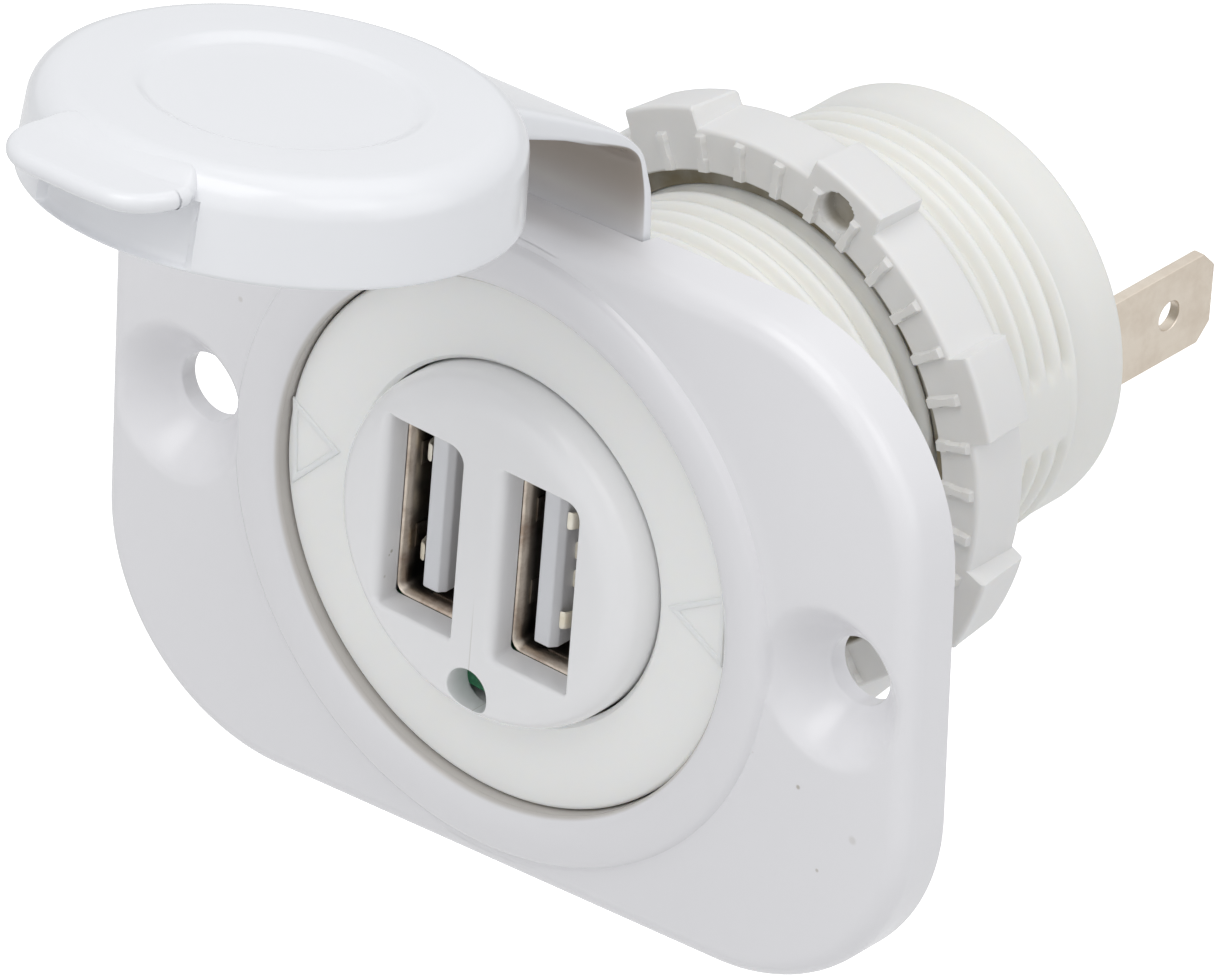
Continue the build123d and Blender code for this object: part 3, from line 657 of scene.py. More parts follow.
def wound_wire(name, colour, gap_colour, pitch):
    """Enamelled winding: turns across the choke's height as rounded bands, dark between them."""
    look = Finish(name)
    wave = look.node("TexWave", {"wave_type": "BANDS", "bands_direction": "Z"}, Vector=look.place,
                     Scale=1.0 / (pitch * mm) / 6.283, Distortion=0.3).outputs["Fac"]
    look.fix(Metallic=0.9)
    rough = look.ramp(wave, 0.0, 1.0, 0.45, 0.28, "LINEAR")
    return look.wire(look.mix(wave, gap_colour, colour), rough, wave, 1.0, pitch * 0.4)


board_green = lacquered_board("board_green", (0.012, 0.13, 0.055), (0.03, 0.20, 0.09))
tinned_copper = plated_metal("tinned_copper", (0.72, 0.70, 0.66), (0.5, 0.48, 0.45), (0.28, 0.38), 0.003)
can_aluminium = plated_metal("can_aluminium", (0.78, 0.79, 0.80), (0.62, 0.62, 0.64), (0.28, 0.4), 0.003)
ferrite = moulded_plastic("ferrite", (0.045, 0.045, 0.05), (0.07, 0.07, 0.075), (0.55, 0.75), (0.03, 0.8),
                          (0.12, 0.11, 0.1), 200.0)
chip_black = moulded_plastic("chip_black", (0.02, 0.02, 0.022), (0.035, 0.035, 0.037), (0.4, 0.55), (0.01, 0.8),
                             (0.1, 0.1, 0.09), 200.0)
copper_wire = wound_wire("copper_wire", (0.72, 0.34, 0.17), (0.16, 0.05, 0.02), 0.45)
lamp_resin = moulded_plastic("lamp_resin", (0.03, 0.12, 0.06), (0.05, 0.16, 0.08), (0.15, 0.25), (0.004, 0.2),
                             (0.2, 0.2, 0.1), 120.0)
inside = {
    "usb_board": board_green, "indicator_board": board_green, "power_board": board_green,
    "indicator_led": lamp_resin, "indicator_leads": tinned_copper, "board_link_pins": tinned_copper,
    "choke_core": ferrite, "choke_winding": copper_wire, "input_capacitor": can_aluminium,
    "output_capacitor": can_aluminium, "converter_chip": chip_black, "rectifier_diode": chip_black,
}
for name, material in inside.items():
    nodes[name].data.materials.clear()
    nodes[name].data.materials.append(material)


# Blade terminals: 6.3 mm tabs stamped from nickel-plated strip, their cut edges softened, standing out
# of slots in the rear.
blade_nickel = plated_metal("blade_nickel", (0.69, 0.62, 0.53), (0.61, 0.53, 0.44), (0.34, 0.5), 0.004)
for name in ("positive", "negative"):
    softened(name + "_terminal", name + "_blade", 0.09, 2, slot="blade_nickel", finish=blade_nickel)


# Mounting plate: one injection moulding in glossy white plastic, a 1.8 mm skin with a rim and ribs
# behind, a half-round collar round the socket and two soft dished hollows with their screw holes.
plate_half_x, plate_half_z, plate_corner = 31.5, 22.5, 14.2
plate_face, plate_skin, plate_edge = -4.3, 1.8, 1.4
pocket_floor = plate_face + plate_skin
recess_r, collar_r, collar_rise = 17.5, 20.9, 0.8
seat_r, barrel_hole_r, strap_thickness, strap_half = 19.4, 14.5, 1.3, 7.4
screw_x, screw_r, screw_lip, screw_seat, boss_r = 25.6, 2.25, 0.12, -1.4, 5.6
hollow_r, patch_r, boss_gap_r = 5.4, 5.0, 4.6
rib_x, rib_half, rib_back, rib_ends = 12.5, 0.6, -0.6, (14.6, 21.2)
plate_specks = ((23.5, -7.6, 0.16, 0.8), (20.0, -6.5, 0.12, 0.5), (25.2, -12.7, 0.13, 0.6),
                (16.2, 1.2, 0.12, 0.5), (14.9, -3.3, 0.10, 0.5), (2.5, -19.9, 0.12, 0.45),
                (27.8, -9.6, 0.3, 0.25), (-21.0, 9.0, 0.2, 0.3))


def edge_distance(x, z):
    """Distance inwards from the plate's outline: the corner circle's in the corners, else the nearer side's."""
    qx, qz = np.abs(x) - (plate_half_x - plate_corner), np.abs(z) - (plate_half_z - plate_corner)
    outside = np.hypot(np.maximum(qx, 0), np.maximum(qz, 0))
    return plate_corner - outside - np.minimum(np.maximum(qx, qz), 0)


def plate_front_depth(x, z):
    """Depth of the plate's front.

    Flat face, plus a quarter-round fall over the outer 1.4 mm, less the half-round collar with its soft foot,
    plus the two hollows: full depth at the screw hole, falling off as 1 - t^1.35 to the power 1.5.
    """
    inner = np.clip(edge_distance(x, z), 0, plate_edge)
    depth = plate_face + plate_edge - np.sqrt(np.maximum(plate_edge ** 2 - (plate_edge - inner) ** 2, 0))
    r = np.hypot(x, z)
    middle, half = (recess_r + collar_r) / 2, (collar_r - recess_r) / 2
    bead = np.clip(1 - ((r - middle) / half) ** 2, 0, 1) ** 0.55
    foot = 0.12 * np.exp(-((r - collar_r) / 0.55) ** 2) * (r > middle)
    depth = depth - collar_rise * bead - foot * smooth_step(inner / plate_edge)
    for side in (-1, 1):
        d = np.hypot(x - side * screw_x, z)
        t = np.clip((d - screw_r) / (hollow_r - screw_r), 0, 1)
        depth = depth + (screw_seat - plate_face) * (1 - t ** 1.35) ** 1.5 * (d < hollow_r)
    return depth


def plate_outline(inset):
    """Points round the plate's outline moved inwards by an inset."""
    return rounded_outline(plate_half_x, plate_half_z, plate_corner, inset, 130, 60, 110)


def plate_rows():
    """Rows of the plate's grid, with where its front rows start and end.

    From the recess the rows run over the collar and the face to the round edge, down the side and, behind,
    from the rim over the pocket's floor to the strap's seat and the barrel's hole. Each row is a ring of points
    between a circle and the outline; the strap's notch presses the rear rows down to the strap's thickness.
    """
    edge, flat_edge, rim = plate_outline(0), plate_outline(plate_edge), plate_outline(plate_skin)
    spoke = edge / np.linalg.norm(edge, axis=1)[:, None]
    recess = [(spoke * recess_r, y) for y in (flange_back, -3.6, plate_face - 0.1)]
    circles = recess_r + 3.9 * (0.5 - 0.5 * np.cos(np.linspace(0.12, math.pi, 22)))
    front = [spoke * r for r in circles]
    start = front[-1]
    front += [start + (flat_edge - start) * t for t in np.linspace(0, 1, 44)[1:]]
    front += [flat_edge + (edge - flat_edge) * math.sin(turn) for turn in np.linspace(0, math.pi / 2, 10)[1:]]
    front = [(flat, plate_front_depth(*flat.T)) for flat in front]
    rear = [(edge, -2.2), (edge, -1.2), (edge, -0.2), (plate_outline(0.2), 0), (rim, 0)]
    rear += [(rim + (spoke * seat_r - rim) * t, pocket_floor) for t in np.linspace(0, 1, 14)]
    rear += [(spoke * seat_r, -strap_thickness), (spoke * barrel_hole_r, -strap_thickness),
             (spoke * barrel_hole_r, flange_back)]
    rows = [np.stack([flat[:, 0], y + 0 * flat[:, 0], flat[:, 1]], -1) for flat, y in recess + front + rear]
    grid, last_front = np.stack(rows), len(recess) + len(front)
    x, y, z = grid[last_front:].transpose(2, 0, 1)
    in_notch = (np.abs(x) < strap_half + 0.2) & (z > 0)
    grid[last_front:, :, 1] = np.where(in_notch, np.minimum(y, -strap_thickness), y)
    return grid, len(recess), last_front


def screw_hollow(side):
    """Polar patch round one screw hole and the boss behind it.

    The patch follows the plate's front from the hollow's rim to the hole, then the hole's wall, the boss's end
    and its side; every ring is a circle about the screw's axis.
    """
    around = full_turn(144)
    turn = np.linspace(0, math.pi / 2, 5)[1:]
    radii = np.append(np.linspace(patch_r - 0.12, screw_r + screw_lip, 26),
                      screw_r + screw_lip * (1 - np.sin(turn)))
    lip = np.append(np.zeros(26), screw_lip * (1 - np.cos(turn)))
    x, z = side * screw_x + radii[:, None] * np.cos(around), radii[:, None] * np.sin(around)
    front = np.stack([x, plate_front_depth(x, z) + lip[:, None], z], -1)
    boss = lathe([(screw_r, -0.13), (screw_r + 0.1, -0.03), (boss_r - 0.1, -0.03), (boss_r, -0.13),
                  (boss_r, pocket_floor - 0.2)], around)
    return np.concatenate([front, boss + (side * screw_x, 0, 0)])


def open_loops(quads, total):
    """Loops of the points along open edges: each edge leads on to the one that starts where it ends."""
    start, end = quads.ravel(), np.roll(quads, -1, 1).ravel()
    is_open = ~np.isin(start * total + end, end * total + start)
    following = dict(zip(start[is_open].tolist(), end[is_open].tolist()))
    loops = []
    while following:
        point, onward = following.popitem()
        loop = [point]
        while onward != loop[0]:
            loop.append(onward)
            onward = following.pop(onward)
        loops.append(np.array(loop))
    return loops


def in_turn(ring, points, axis_x):
    """Ring of points anticlockwise from its smallest angle round an axis and back to it, with those angles."""
    angle = np.unwrap(np.arctan2(points[ring, 2], points[ring, 0] - axis_x))
    if angle[-1] < angle[0]:
        ring, angle = ring[::-1], angle[::-1]
    first = np.argmin(angle % math.tau)
    ring, angle = np.roll(ring, -first), np.unwrap(np.roll(angle, -first))
    angle -= angle[0] - angle[0] % math.tau
    return np.append(ring, ring[0]), np.append(angle, angle[0] + math.tau)


def zipped(outer, inner, points, axis_x):
    """Triangles between two rings of points round an axis, each step on the ring that is behind in angle."""
    (a, angle_a), (b, angle_b) = (in_turn(ring, points, axis_x) for ring in (outer, inner))
    order = np.argsort(np.append(angle_a[1:], angle_b[1:]), kind="stable")
    on_a = order < len(a) - 1
    i, j = np.cumsum(on_a) - on_a, np.cumsum(~on_a) - ~on_a
    ahead = np.where(on_a, a[np.minimum(i + 1, len(a) - 1)], b[np.minimum(j + 1, len(b) - 1)])
    return np.stack([a[i], ahead, b[j]], -1)


def stiffening_rib(x, low, high):
    """Closed bar behind the skin: a rounded rectangle section carried from one height to another."""
    section = np.array([(-1, 0), (-1, 0.94), (-0.8, 1), (0.8, 1), (1, 0.94), (1, 0)])
    across, rise = section.T
    foot = pocket_floor - 0.2
    bar = np.stack([x + rib_half * across, foot + (rib_back - foot) * rise, 0 * rise], -1)
    return capped(bar + [[(0, 0, low)], [(0, 0, high)]])


def pierced_plate():
    """Plate's skin with a screw hollow and a boss welded into a gap on each side.

    The gaps are cut first. On the front, faces wholly inside the hollow's patch are left out and points inside
    its circle move out to it; on the pocket's floor, faces near the boss are left out. The patch's first ring
    is then joined to the gap in front and its last ring to the one in the floor.
    """
    plate = Patches()
    grid, first_front, last_front = plate_rows()
    plate.grid(grid, True)
    quads, points = plate.faces.pop(), plate.points[0]
    spokes = grid.shape[1]
    row = np.arange(len(points)) // spokes
    screw = np.where(points[:, 0] > 0, screw_x, -screw_x)
    out = points[:, [0, 2]] - np.stack([screw, 0 * screw], -1)
    from_screw = np.hypot(*out.T)
    near = from_screw[quads]
    on_front = (quads // spokes >= first_front).all(1) & (quads // spokes < last_front).all(1)
    on_floor = ~on_front & (np.abs(points[quads][:, :, 1] - pocket_floor) < 1e-6).all(1)
    quads = quads[~(on_front & (near < patch_r + 1e-6).all(1)) & ~(on_floor & (near < boss_gap_r).any(1))]
    moved = (from_screw < patch_r) & (row >= first_front) & (row < last_front)
    out *= (patch_r / np.maximum(from_screw, 1e-6))[:, None]
    points[moved, 0], points[moved, 2] = screw[moved] + out[moved, 0], out[moved, 1]
    points[moved, 1] = plate_front_depth(points[moved, 0], points[moved, 2])
    plate.faces.append(quads)
    loops = open_loops(quads, len(points))
    for side in (-1, 1):
        rings = plate.grid(screw_hollow(side))
        points = np.concatenate(plate.points)
        for loop in loops:
            if (points[loop, 0] * side > 0).all():
                on_floor = (points[loop, 1] > plate_face + 1).all()
                plate.faces.append(zipped(loop, rings[-1 if on_floor else 0], points, side * screw_x))
    return plate


def plate_stain(look):
    """Mask of a handful of specks on the face, and of a brown tint on the wall of the gap round the flange."""
    gap_tint = look.ramp(look.off_axis(), (recess_r + 0.05) * mm, (recess_r + 0.3) * mm, 0.6, 0.0)
    specks = marks_at(look, [(x, plate_face, z, size, strength) for x, z, size, strength in plate_specks])
    return look.maths("MAXIMUM", gap_tint, specks)


plate_white = moulded_plastic("plate_white", (0.832, 0.828, 0.848), (0.814, 0.81, 0.83), (0.21, 0.265),
                              (0.003, 0.35), (0.42, 0.38, 0.32), 150.0, plate_stain)
plate = pierced_plate()
for x in (-rib_x, rib_x):
    for side in (-1, 1):
        plate.grid(stiffening_rib(x, *sorted(side * end for end in rib_ends)))
surface("moulded_plate", plate, "socket", ["mounting_plate"], slot="plate_white", finish=plate_white,
        closed=True)


# Strap: one flexible moulding with the cap. A flat ring is trapped behind the plate, a leg passes up
# through the notch, thins where it bends, and swells into an arm that runs to the cap's skirt.
strap_ring_r, hinge_y, hinge_z = 19.2, -1.3, 26.78
swing = math.radians(-98.3)
strap_rear_line = ((-0.06, 15.0), (-0.04, 19.0), (0.0, 23.0), (-0.12, 25.4), (-0.50, 26.75), (-1.05, 28.33),
                   (-2.07, 29.60), (-3.54, 30.85), (-5.46, 32.02), (-8.9, 33.95), (-12.6, 35.9))
strap_front_line = ((-1.24, 15.0), (-1.26, 19.0), (-1.3, 23.0), (-1.32, 25.4), (-1.48, 26.7), (-1.78, 28.1),
                    (-2.62, 29.02), (-3.95, 29.72), (-5.9, 30.62), (-8.9, 32.1), (-12.6, 33.3))
cap_specks = ((-5.0, -46.0, 39.0, 0.25, 0.7), (-9.0, -20.0, 40.5, 0.2, 0.6), (4.0, -16.0, 40.5, 0.18, 0.5))


def swung_open(points):
    """Points drawn in the closed place, turned about the hinge: the same turn the cap's solid has at rest."""
    y, z = points[..., 1] - hinge_y, points[..., 2] - hinge_z
    cos, sin = math.cos(swing), math.sin(swing)
    return np.stack([points[..., 0], hinge_y + cos * y - sin * z, hinge_z + sin * y + cos * z], -1)


def smooth_path(knots, samples):
    """Catmull-Rom curve through knots, sampled evenly in chord length.

    Between two knots it is half of 2 b + (c - a) t + (2 a - 5 b + 4 c - d) t^2 + (3 b - a - 3 c + d) t^3, where
    b and c are those knots and a and d the ones before and after.
    """
    knots = np.asarray(knots, float)
    run = np.append(0, np.cumsum(np.linalg.norm(np.diff(knots, axis=0), axis=1)))
    ends = np.concatenate([[2 * knots[0] - knots[1]], knots, [2 * knots[-1] - knots[-2]]])
    at = np.linspace(0, run[-1], samples)
    k = np.clip(np.searchsorted(run, at, side="right") - 1, 0, len(knots) - 2)
    t = ((at - run[k]) / (run[k + 1] - run[k]))[:, None]
    a, b, c, d = (ends[k + step] for step in range(4))
    return 0.5 * (2 * b + (c - a) * t + (2 * a - 5 * b + 4 * c - d) * t ** 2 + (3 * b - a - 3 * c + d) * t ** 3)


def strap_band():
    """Leg, bend and arm: a superellipse section, wide across and thin through, between two paths.

    The arm's end reaches further at its sides, by up to 2.3 mm, to follow the cap's round skirt.
    """
    rear, front = smooth_path(strap_rear_line, 130), smooth_path(strap_front_line, 130)
    across, through = slab_section(56, strap_half, 0.5, 0.14, 0.5)
    yz = (rear + front)[:, None] / 2 + (rear - front)[:, None] * through[:, None]
    x = np.broadcast_to(across, yz.shape[:2])
    reach = 2.3 * (x / strap_half) ** 2 * smooth_step((-8.5 - yz[..., 0]) / 4.1)
    return capped(np.stack([x, yz[..., 0] - 0.88 * reach, yz[..., 1] + 0.47 * reach], -1))


def cap_bend_shade_and_specks(look):
    """Mask of painted shade, dark brown in the hollow under the arm's bend, and of a few small dark specks.

    The painted shade lies near the line of the bend, only where the surface faces down or to the front.
    """
    section = look.node("CombineXYZ", Y=look.along("Y"), Z=look.along("Z")).outputs[0]
    reach = look.node("VectorMath", {"operation": "DISTANCE"}, i0=section, i1=(0, -4.2 * mm, 26.8 * mm))
    close = look.ramp(reach.outputs["Value"], 2 * mm, 6.8 * mm, 0.95, 0.0)
    facing = look.node("SeparateXYZ", Vector=look.node("TexCoord").outputs["Normal"]).outputs
    inner = look.ramp(look.maths("ADD", facing["Y"], facing["Z"]), -0.7, -0.2, 1.0, 0.0)
    return look.maths("MAXIMUM", look.maths("MULTIPLY", close, inner), marks_at(look, cap_specks))


# Its dark brown paints shade into the hollow under the arm's bend, and colours the specks.
cap_white = moulded_plastic("cap_white", (0.85, 0.86, 0.885), (0.83, 0.84, 0.865), (0.15, 0.2), (0.002, 0.25),
                            (0.20, 0.155, 0.11), 130.0, cap_bend_shade_and_specks)
ring_profile = [(barrel_hole_r, 0), (barrel_hole_r, -0.65), (barrel_hole_r, -strap_thickness),
                (17, -strap_thickness), (strap_ring_r - 0.15, -strap_thickness),
                (strap_ring_r, 0.15 - strap_thickness), (strap_ring_r, -0.15), (strap_ring_r - 0.15, 0),
                (17, 0)]
band_and_ring = Patches()
band_and_ring.grid(strap_band(), turned_over=True)
band_and_ring.grid(lathe(ring_profile, full_turn(180)), True)
strap = surface("strap", band_and_ring, None, ["cap_strap"], slot="cap_white", finish=cap_white)
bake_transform(strap)


# Cap: a round cup in the same glossy white plastic, dished on top, with a rolled shoulder, a thumb tab
# that droops past its lower edge and a shallow grip under the tab. Drawn closed, then swung open.
cap_r, cap_draft, cap_rim, cap_height = 15.27, 0.25, -4.37, 6.4
cap_wall, cap_roof, cap_round = 1.65, 1.8, 2.4
dish_r, dish_slope, dish_depth = 7.9, 1.3, 0.45
tab_half, tab_length, tab_reach, tab_corner, tab_thickness, tab_below = 6.7, 3.5, 3.6, 3.4, 1.3, 0.8
tab_droop, tab_turn = math.radians(5.5), math.radians(2.2)
grip_half, grip_depth, grip_top = 6.0, 0.6, 2.5
cap_top = cap_rim - cap_height


def cap_cup():
    """Cup turned about the cap's axis.

    The profile runs from the dish's centre over its slope, the crowned land, the rolled shoulder, the drafted
    skirt and the rim to the inner wall and roof. The skirt is cut back to a flat under the tab.
    """
    floor, roof, outer, inner = cap_top + dish_depth, cap_top + cap_roof, cap_r - cap_draft, cap_r - cap_wall
    outside = [(0, floor), (3, floor), (6, floor), (dish_r, floor)]
    outside += [(dish_r + dish_slope * t, floor - dish_depth * smooth_step(t)) for t in np.linspace(0.1, 1, 10)]
    outside += [(9.8, cap_top - 0.02), (10.6, cap_top - 0.02), (11.6, cap_top)]
    outside += list(arc((outer - cap_round, cap_top + cap_round), cap_round, -90, 0, 16))
    outside += [(outer + cap_draft * t, cap_top + cap_round + (cap_height - cap_round - 0.3) * t)
                for t in np.linspace(0.06, 1, 14)]
    outside += [(cap_r - 0.3 + 0.3 * math.cos(t), cap_rim - 0.3 + 0.3 * math.sin(t))
                for t in np.linspace(0.2, math.pi / 2, 5)]
    inside = [(inner + 0.2, cap_rim), (inner + 0.06, cap_rim - 0.06), (inner, cap_rim - 0.2),
              (inner, cap_rim - 2), (inner, roof + 0.5), (inner - 0.15, roof + 0.15), (inner - 0.5, roof),
              (8, roof), (0, roof)]
    cup = lathe(outside + inside, full_turn(360))
    x, y, z = cup[:len(outside)].transpose(2, 0, 1)
    cos, sin = math.cos(tab_turn), math.sin(tab_turn)
    across, down = cos * x - sin * z, sin * x + cos * z
    in_grip = smooth_step((grip_half + 0.12 - np.abs(across)) / 0.24) * (down < 0)
    in_grip = in_grip * smooth_step((y - (cap_top + grip_top - 0.6)) / 0.4)
    in_grip = in_grip * smooth_step((cap_rim - 0.1 - y) / 0.3)
    cut = 1 - in_grip * np.clip(grip_depth / np.maximum(np.hypot(x, z), 1), 0, 1)
    cup[:len(outside), :, [0, 2]] *= cut[..., None]
    return cup


def tab_slab():
    """Thumb tab: a rounded outline inset row by row as its edge rolls over, drooping outwards.

    Its right half is a tenth narrower and drawn back by up to a millimetre, and its upper face sweeps up by
    half a millimetre where it runs into the cap's shoulder.
    """
    roll = np.radians(np.linspace(90, -90, 15))
    rows = [(3.0, -1), (1.6, -1), (1.1, -1)]
    rows += [(0.7 - 0.7 * math.cos(a), -math.sin(a)) for a in roll] + [(1.6, 1), (3.0, 1)]
    grid = []
    for inset, side in rows:
        flat_x, flat_z = rounded_outline(tab_half, tab_length, tab_corner, inset, 24, 20, 12).T
        right = np.clip(flat_x / tab_half, 0, 1)
        x = flat_x * (1 - 0.1 * right)
        z = flat_z - (cap_r + tab_reach - tab_length) + 1.0 * right ** 2 * (flat_z < 0)
        sweep = 0.5 * smooth_step((15.8 - np.hypot(x, z)) / 2.0) * np.clip(-side, 0, 1)
        grid.append(np.stack([x, side * tab_thickness / 2 - sweep, z], -1))
    x, y, z = capped(np.stack(grid)).transpose(2, 0, 1)
    root = cap_r - cap_wall
    y, z = y + tab_thickness / 2, z + root
    cos, sin = math.cos(tab_droop), math.sin(tab_droop)
    y, z = cap_top + tab_below + cos * y - sin * z, sin * y + cos * z - root
    cos, sin = math.cos(tab_turn), math.sin(tab_turn)
    return np.stack([cos * x + sin * z, y, cos * z - sin * x], -1)


cup = Patches(swung_open)
cup.grid(cap_cup())
surface("cap_shell", cup, "cap", ["cap"], slot="cap_white", finish=cap_white)
tab = Patches(swung_open)
tab.grid(tab_slab())
surface("cap_tab", tab, "cap", slot="cap_white", finish=cap_white)


# Ring nut: a stiff nylon ring screwed up the barrel, with eight grip lugs, short teeth on its front
# face to bite the panel, a wider mouth inside and the moulding gate's round pit in one lug.
nut_seat, nut_back, nut_r, nut_bore, nut_edge, nut_rear_edge = 18.5, 22.9, 18.2, 14.35, 0.28, 0.2
mouth_r, mouth_floor, mouth_edge = 15.6, 19.7, 0.15
lug_r, lug_taper, lug_first, lug_half = 19.8, 0.45, 22.5, 8.4
tooth_first, tooth_half, tooth_height, tooth_outer, tooth_waist_r = 3.0, 0.32, 0.36, 18.15, 17.05
gate_angle, gate_r, gate_depth, gate_at = math.radians(67.8), 1.25, 1.2, 17.55


def ring_angles():
    """Angles in degrees round the nut: close together at each lug's sides and each tooth, wider between."""
    at_side = np.array([-0.9, -0.6, -0.3, 0, 0.3, 0.6, 0.9])
    at_tooth = np.array([-1.3, -1.1, -0.9, -0.7, 0.7, 0.9, 1.1, 1.3])
    angles = [np.arange(0, 360, 1.5), np.arange(62.8, 72.8, 0.35)]
    angles += [lug_first + 45 * lug + side + at_side for lug in range(8) for side in (-lug_half, lug_half)]
    angles += [tooth_first + 10 * tooth + at_tooth for tooth in range(36)]
    angles = np.sort(np.concatenate(angles) % 360)
    return np.radians(angles[np.append(True, np.diff(angles) > 0.12)])


def front_step(r, angles):
    """How far a point of the nut's front lies behind its seat: the gate's pit goes in, the teeth stand out."""
    off_tooth = np.abs((np.degrees(angles) - tooth_first + 5) % 10 - 5)
    waist = 0.07 * smooth_step((abs(r - tooth_waist_r) - 0.35) / 0.2)
    half = np.degrees((tooth_half - 0.05 + waist) / r)
    tooth = smooth_step((half + 0.12 - off_tooth) / 0.24)
    tooth = tooth * smooth_step((r - mouth_r - 0.02) / 0.12) * smooth_step((tooth_outer - r) / 0.12)
    away = np.hypot(r * np.cos(angles) - gate_at * math.cos(gate_angle),
                    r * np.sin(angles) - gate_at * math.sin(gate_angle))
    return gate_depth * smooth_step((gate_r + 0.08 - away) / 0.16) - tooth_height * tooth


def nut_grid(angles):
    """Nut's section swept round the axis.

    The outer radius rises to the lugs over half a degree and tapers to the rear, and the front face takes its
    teeth and pit from the step above; every outer edge is rounded by a quarter circle. Each row is a radius and
    a depth, and both may vary round the ring.
    """
    off_lug = np.abs((np.degrees(angles) - lug_first + 22.5) % 45 - 22.5)
    lug = smooth_step((lug_half + 0.35 - off_lug) / 0.7)
    outer = nut_r + 0.25 + lug * (lug_r - nut_r - 0.25)
    rear = outer - lug_taper * lug
    rows = [(nut_bore, y) for y in (nut_back, mouth_floor + 0.4, mouth_floor)]
    rows += [(mouth_r - 0.1, mouth_floor), (mouth_r, mouth_floor - 0.1), (mouth_r, 19.1),
             (mouth_r, nut_seat + mouth_edge)]
    face = [mouth_r + step for step in (0.03, 0.08, 0.15, 0.2, 0.3)]
    face += [*np.linspace(16.05, 17.95, 17), 18.05, 18.1, 18.17]
    rows += [(r, nut_seat + mouth_edge * max(0, 1 - (r - mouth_r) / mouth_edge) ** 2 + front_step(r, angles))
             for r in face]
    for t in np.linspace(0, 1, 10)[1:]:
        r = face[-1] + t * (outer - nut_edge - face[-1])
        rows.append((r, nut_seat + front_step(r, angles)))
    rows += [(outer - nut_edge * (1 - math.sin(turn)), nut_seat + nut_edge * (1 - math.cos(turn)))
             for turn in np.linspace(0, math.pi / 2, 6)[1:]]
    rows += [(outer - lug_taper * lug * (y - nut_seat) / (nut_back - nut_seat), y)
             for y in np.linspace(nut_seat + 0.6, nut_back - nut_rear_edge, 8)]
    rows += [(rear - nut_rear_edge * (1 - math.cos(turn)), nut_back - nut_rear_edge * (1 - math.sin(turn)))
             for turn in np.linspace(0, math.pi / 2, 4)[1:]]
    rows.append((15.5, nut_back))
    return np.stack([np.stack([r * np.cos(angles), y + 0 * angles, r * np.sin(angles)], -1) for r, y in rows])


def nut_shade_and_grease(look):
    """Mask of painted shade and grease: brown, strong deep in the mouth and the gate pit, light over the front,
    none behind them.
    """
    radius, depth = look.off_axis(), look.along("Y")
    front = look.ramp(depth, 18.4 * mm, 18.8 * mm, 0.14, 0.0)
    mouth = look.ramp(radius, 15.4 * mm, 15.9 * mm, 0.9, 0.0)
    patch = look.ramp(look.noise(260.0, 4.0), 0.35, 0.7, 0.75, 1.25, "LINEAR")
    pit = look.maths("MULTIPLY", look.ramp(depth, 18.7 * mm, 19.3 * mm, 0.0, 0.8, "LINEAR"),
                     look.maths("LESS_THAN", radius, 18.16 * mm))
    strongest = look.maths("MAXIMUM", look.maths("MAXIMUM", front, mouth), pit)
    ahead = look.ramp(depth, (mouth_floor + 0.2) * mm, (mouth_floor + 1) * mm, 1.0, 0.0)
    return look.maths("MULTIPLY", look.maths("MULTIPLY", strongest, ahead), patch, use_clamp=True)


# Its brown paints shade and grease into the mouth, the gate pit and over the front face.
nut_nylon = moulded_plastic("nut_nylon", (0.825, 0.822, 0.815), (0.80, 0.797, 0.79), (0.42, 0.5), (0.004, 0.5),
                            (0.25, 0.21, 0.13), 210.0, nut_shade_and_grease, 0.2)
ring_nut = Patches()
ring_nut.grid(nut_grid(ring_angles()), True)
surface("threaded_nut", ring_nut, "socket", ["ring_nut"], slot="nut_white", finish=nut_nylon, crease=35)


# Floor and light: a pale floor below the part that shows white, soft light all round and a broad
# lamp above and behind, as in the photograph. Sizes and places are in metres from here on.
floor_half, floor_height = 3.0, -0.11


def pale_floor():
    """Floor whose colour shows white to the camera and in reflections, and still takes the part's shadow."""
    look = Finish("pale_floor")
    cloud = look.node("TexNoise", Vector=look.place, Scale=6.0).outputs["Fac"]
    tone = look.mix(cloud, (0.80, 0.80, 0.80), (0.82, 0.82, 0.82))
    look.tree.links.new(tone, look.shader.inputs["Base Color"])
    look.fix(Roughness=0.9, Specular_IOR_Level=0.0, Emission_Color=(1, 1, 1, 1))
    ray = look.node("LightPath").outputs
    mirrored = look.maths("MULTIPLY", ray["Is Glossy Ray"], 0.3)
    glow = look.maths("ADD", look.maths("MULTIPLY", ray["Is Camera Ray"], 0.8), mirrored)
    look.tree.links.new(glow, look.shader.inputs["Emission Strength"])
    return look.material


floor_mesh = bpy.data.meshes.new("floor")
floor_mesh.from_pydata([(x * floor_half, y * floor_half, floor_height)
                        for x, y in ((-1, -1), (1, -1), (1, 1), (-1, 1))], [], [(0, 1, 2, 3)])
floor = bpy.data.objects.new("floor", floor_mesh)
bpy.context.scene.collection.objects.link(floor)
floor.data.materials.append(pale_floor())

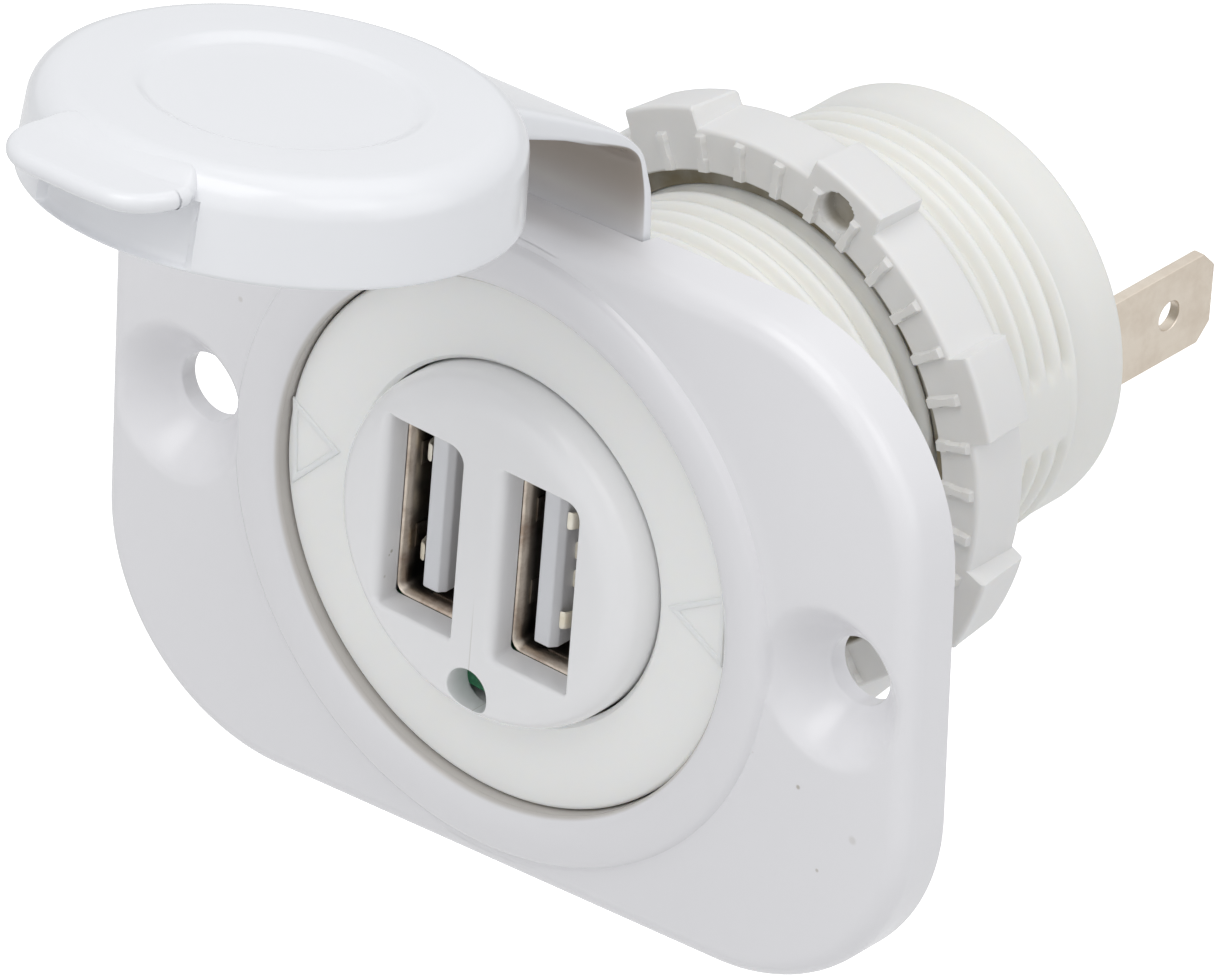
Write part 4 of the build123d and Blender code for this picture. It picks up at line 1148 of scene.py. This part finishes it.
world = bpy.data.worlds.new("studio")
bpy.context.scene.world = world
world.use_nodes = True
tree = world.node_tree
background = tree.nodes["Background"]
background.inputs["Color"].default_value = (0.97, 0.98, 1.0, 1)
path = tree.nodes.new("ShaderNodeLightPath")
seen = path.outputs["Is Camera Ray"]
for ray in ("Is Glossy Ray", "Is Transmission Ray"):
    either = tree.nodes.new("ShaderNodeMath")
    either.operation = "MAXIMUM"
    tree.links.new(seen, either.inputs[0])
    tree.links.new(path.outputs[ray], either.inputs[1])
    seen = either.outputs[0]
strength = tree.nodes.new("ShaderNodeMapRange")
tree.links.new(seen, strength.inputs[0])
strength.inputs[3].default_value = 0.46
strength.inputs[4].default_value = 1.03
tree.links.new(strength.outputs[0], background.inputs["Strength"])


def linked(name, data, right, up, back, place):
    """Object in the scene at a place, turned so that its own axes lie along right, up and back."""
    thing = bpy.data.objects.new(name, data)
    thing.matrix_world = Matrix([[right[k], up[k], back[k], place[k]] for k in range(3)] + [[0, 0, 0, 1]])
    bpy.context.scene.collection.objects.link(thing)
    return thing


def level_axes(back):
    """Unit vectors to the right, level with the ground, and up, both square to the one that points back."""
    right = np.cross([0, 0, 1], back)
    right /= np.linalg.norm(right)
    return right, np.cross(back, right)


def soft_lamp(name, centre, aim, width, height, watts, colour):
    """Rectangular lamp at a point, turned so that it faces the aim."""
    light = bpy.data.lights.new(name, "AREA")
    light.shape, light.size, light.size_y = "RECTANGLE", width, height
    light.energy, light.color = watts, colour
    away = np.array(centre, float) - np.array(aim, float)
    away /= np.linalg.norm(away)
    linked(name, light, *level_axes(away), away, centre)


soft_lamp("above_front", (0.0, -0.28, 0.53), (0, 0, 0.01), 0.42, 0.36, 1.18, (1.0, 0.995, 0.985))
soft_lamp("front", (0.06, -0.55, 0.22), (0, 0, 0), 0.5, 0.5, 0.42, (1.0, 1.0, 1.0))
soft_lamp("low_front", (-0.22, -0.42, -0.06), (0, -0.01, 0), 0.35, 0.2, 0.08, (1.0, 1.0, 1.0))
soft_lamp("right_behind", (0.34, 0.08, 0.14), (0, 0.02, 0), 0.3, 0.3, 0.22, (1.0, 1.0, 1.0))
soft_lamp("right_above", (0.42, -0.08, 0.40), (0, 0, 0), 0.3, 0.3, 0.34, (1.0, 1.0, 1.0))
soft_lamp("above_behind", (0.06, 0.22, 0.55), (0, 0.02, 0), 0.5, 0.4, 0.36, (1.0, 1.0, 1.0))


# Camera: the photograph's own viewing angle and framing, with a long lens. Its picture is 1214 pixels
# wide, and the part's middle lies a little beside and below the picture's.
azimuth, elevation, roll = (math.radians(a) for a in (38.68, 29.26, 2.17))
distance, slide_right, slide_up = 1.67115, 0.003604, 0.001821
pixels_per_metre, picture_width, sensor_width = 16555.9, 1214, 36.0
back = np.array([math.cos(elevation) * math.sin(azimuth), -math.cos(elevation) * math.cos(azimuth),
                 math.sin(elevation)])
right, up = level_axes(back)
right, up = math.cos(roll) * right + math.sin(roll) * up, math.cos(roll) * up - math.sin(roll) * right
lens = bpy.data.cameras.new("camera")
lens.sensor_width = sensor_width
lens.lens = pixels_per_metre * distance / picture_width * sensor_width
lens.clip_start, lens.clip_end = 0.05, 20
place = distance * back + slide_right * right + slide_up * up
bpy.context.scene.camera = linked("camera", lens, right, up, back, place)
bpy.context.scene.view_settings.view_transform = "Standard"
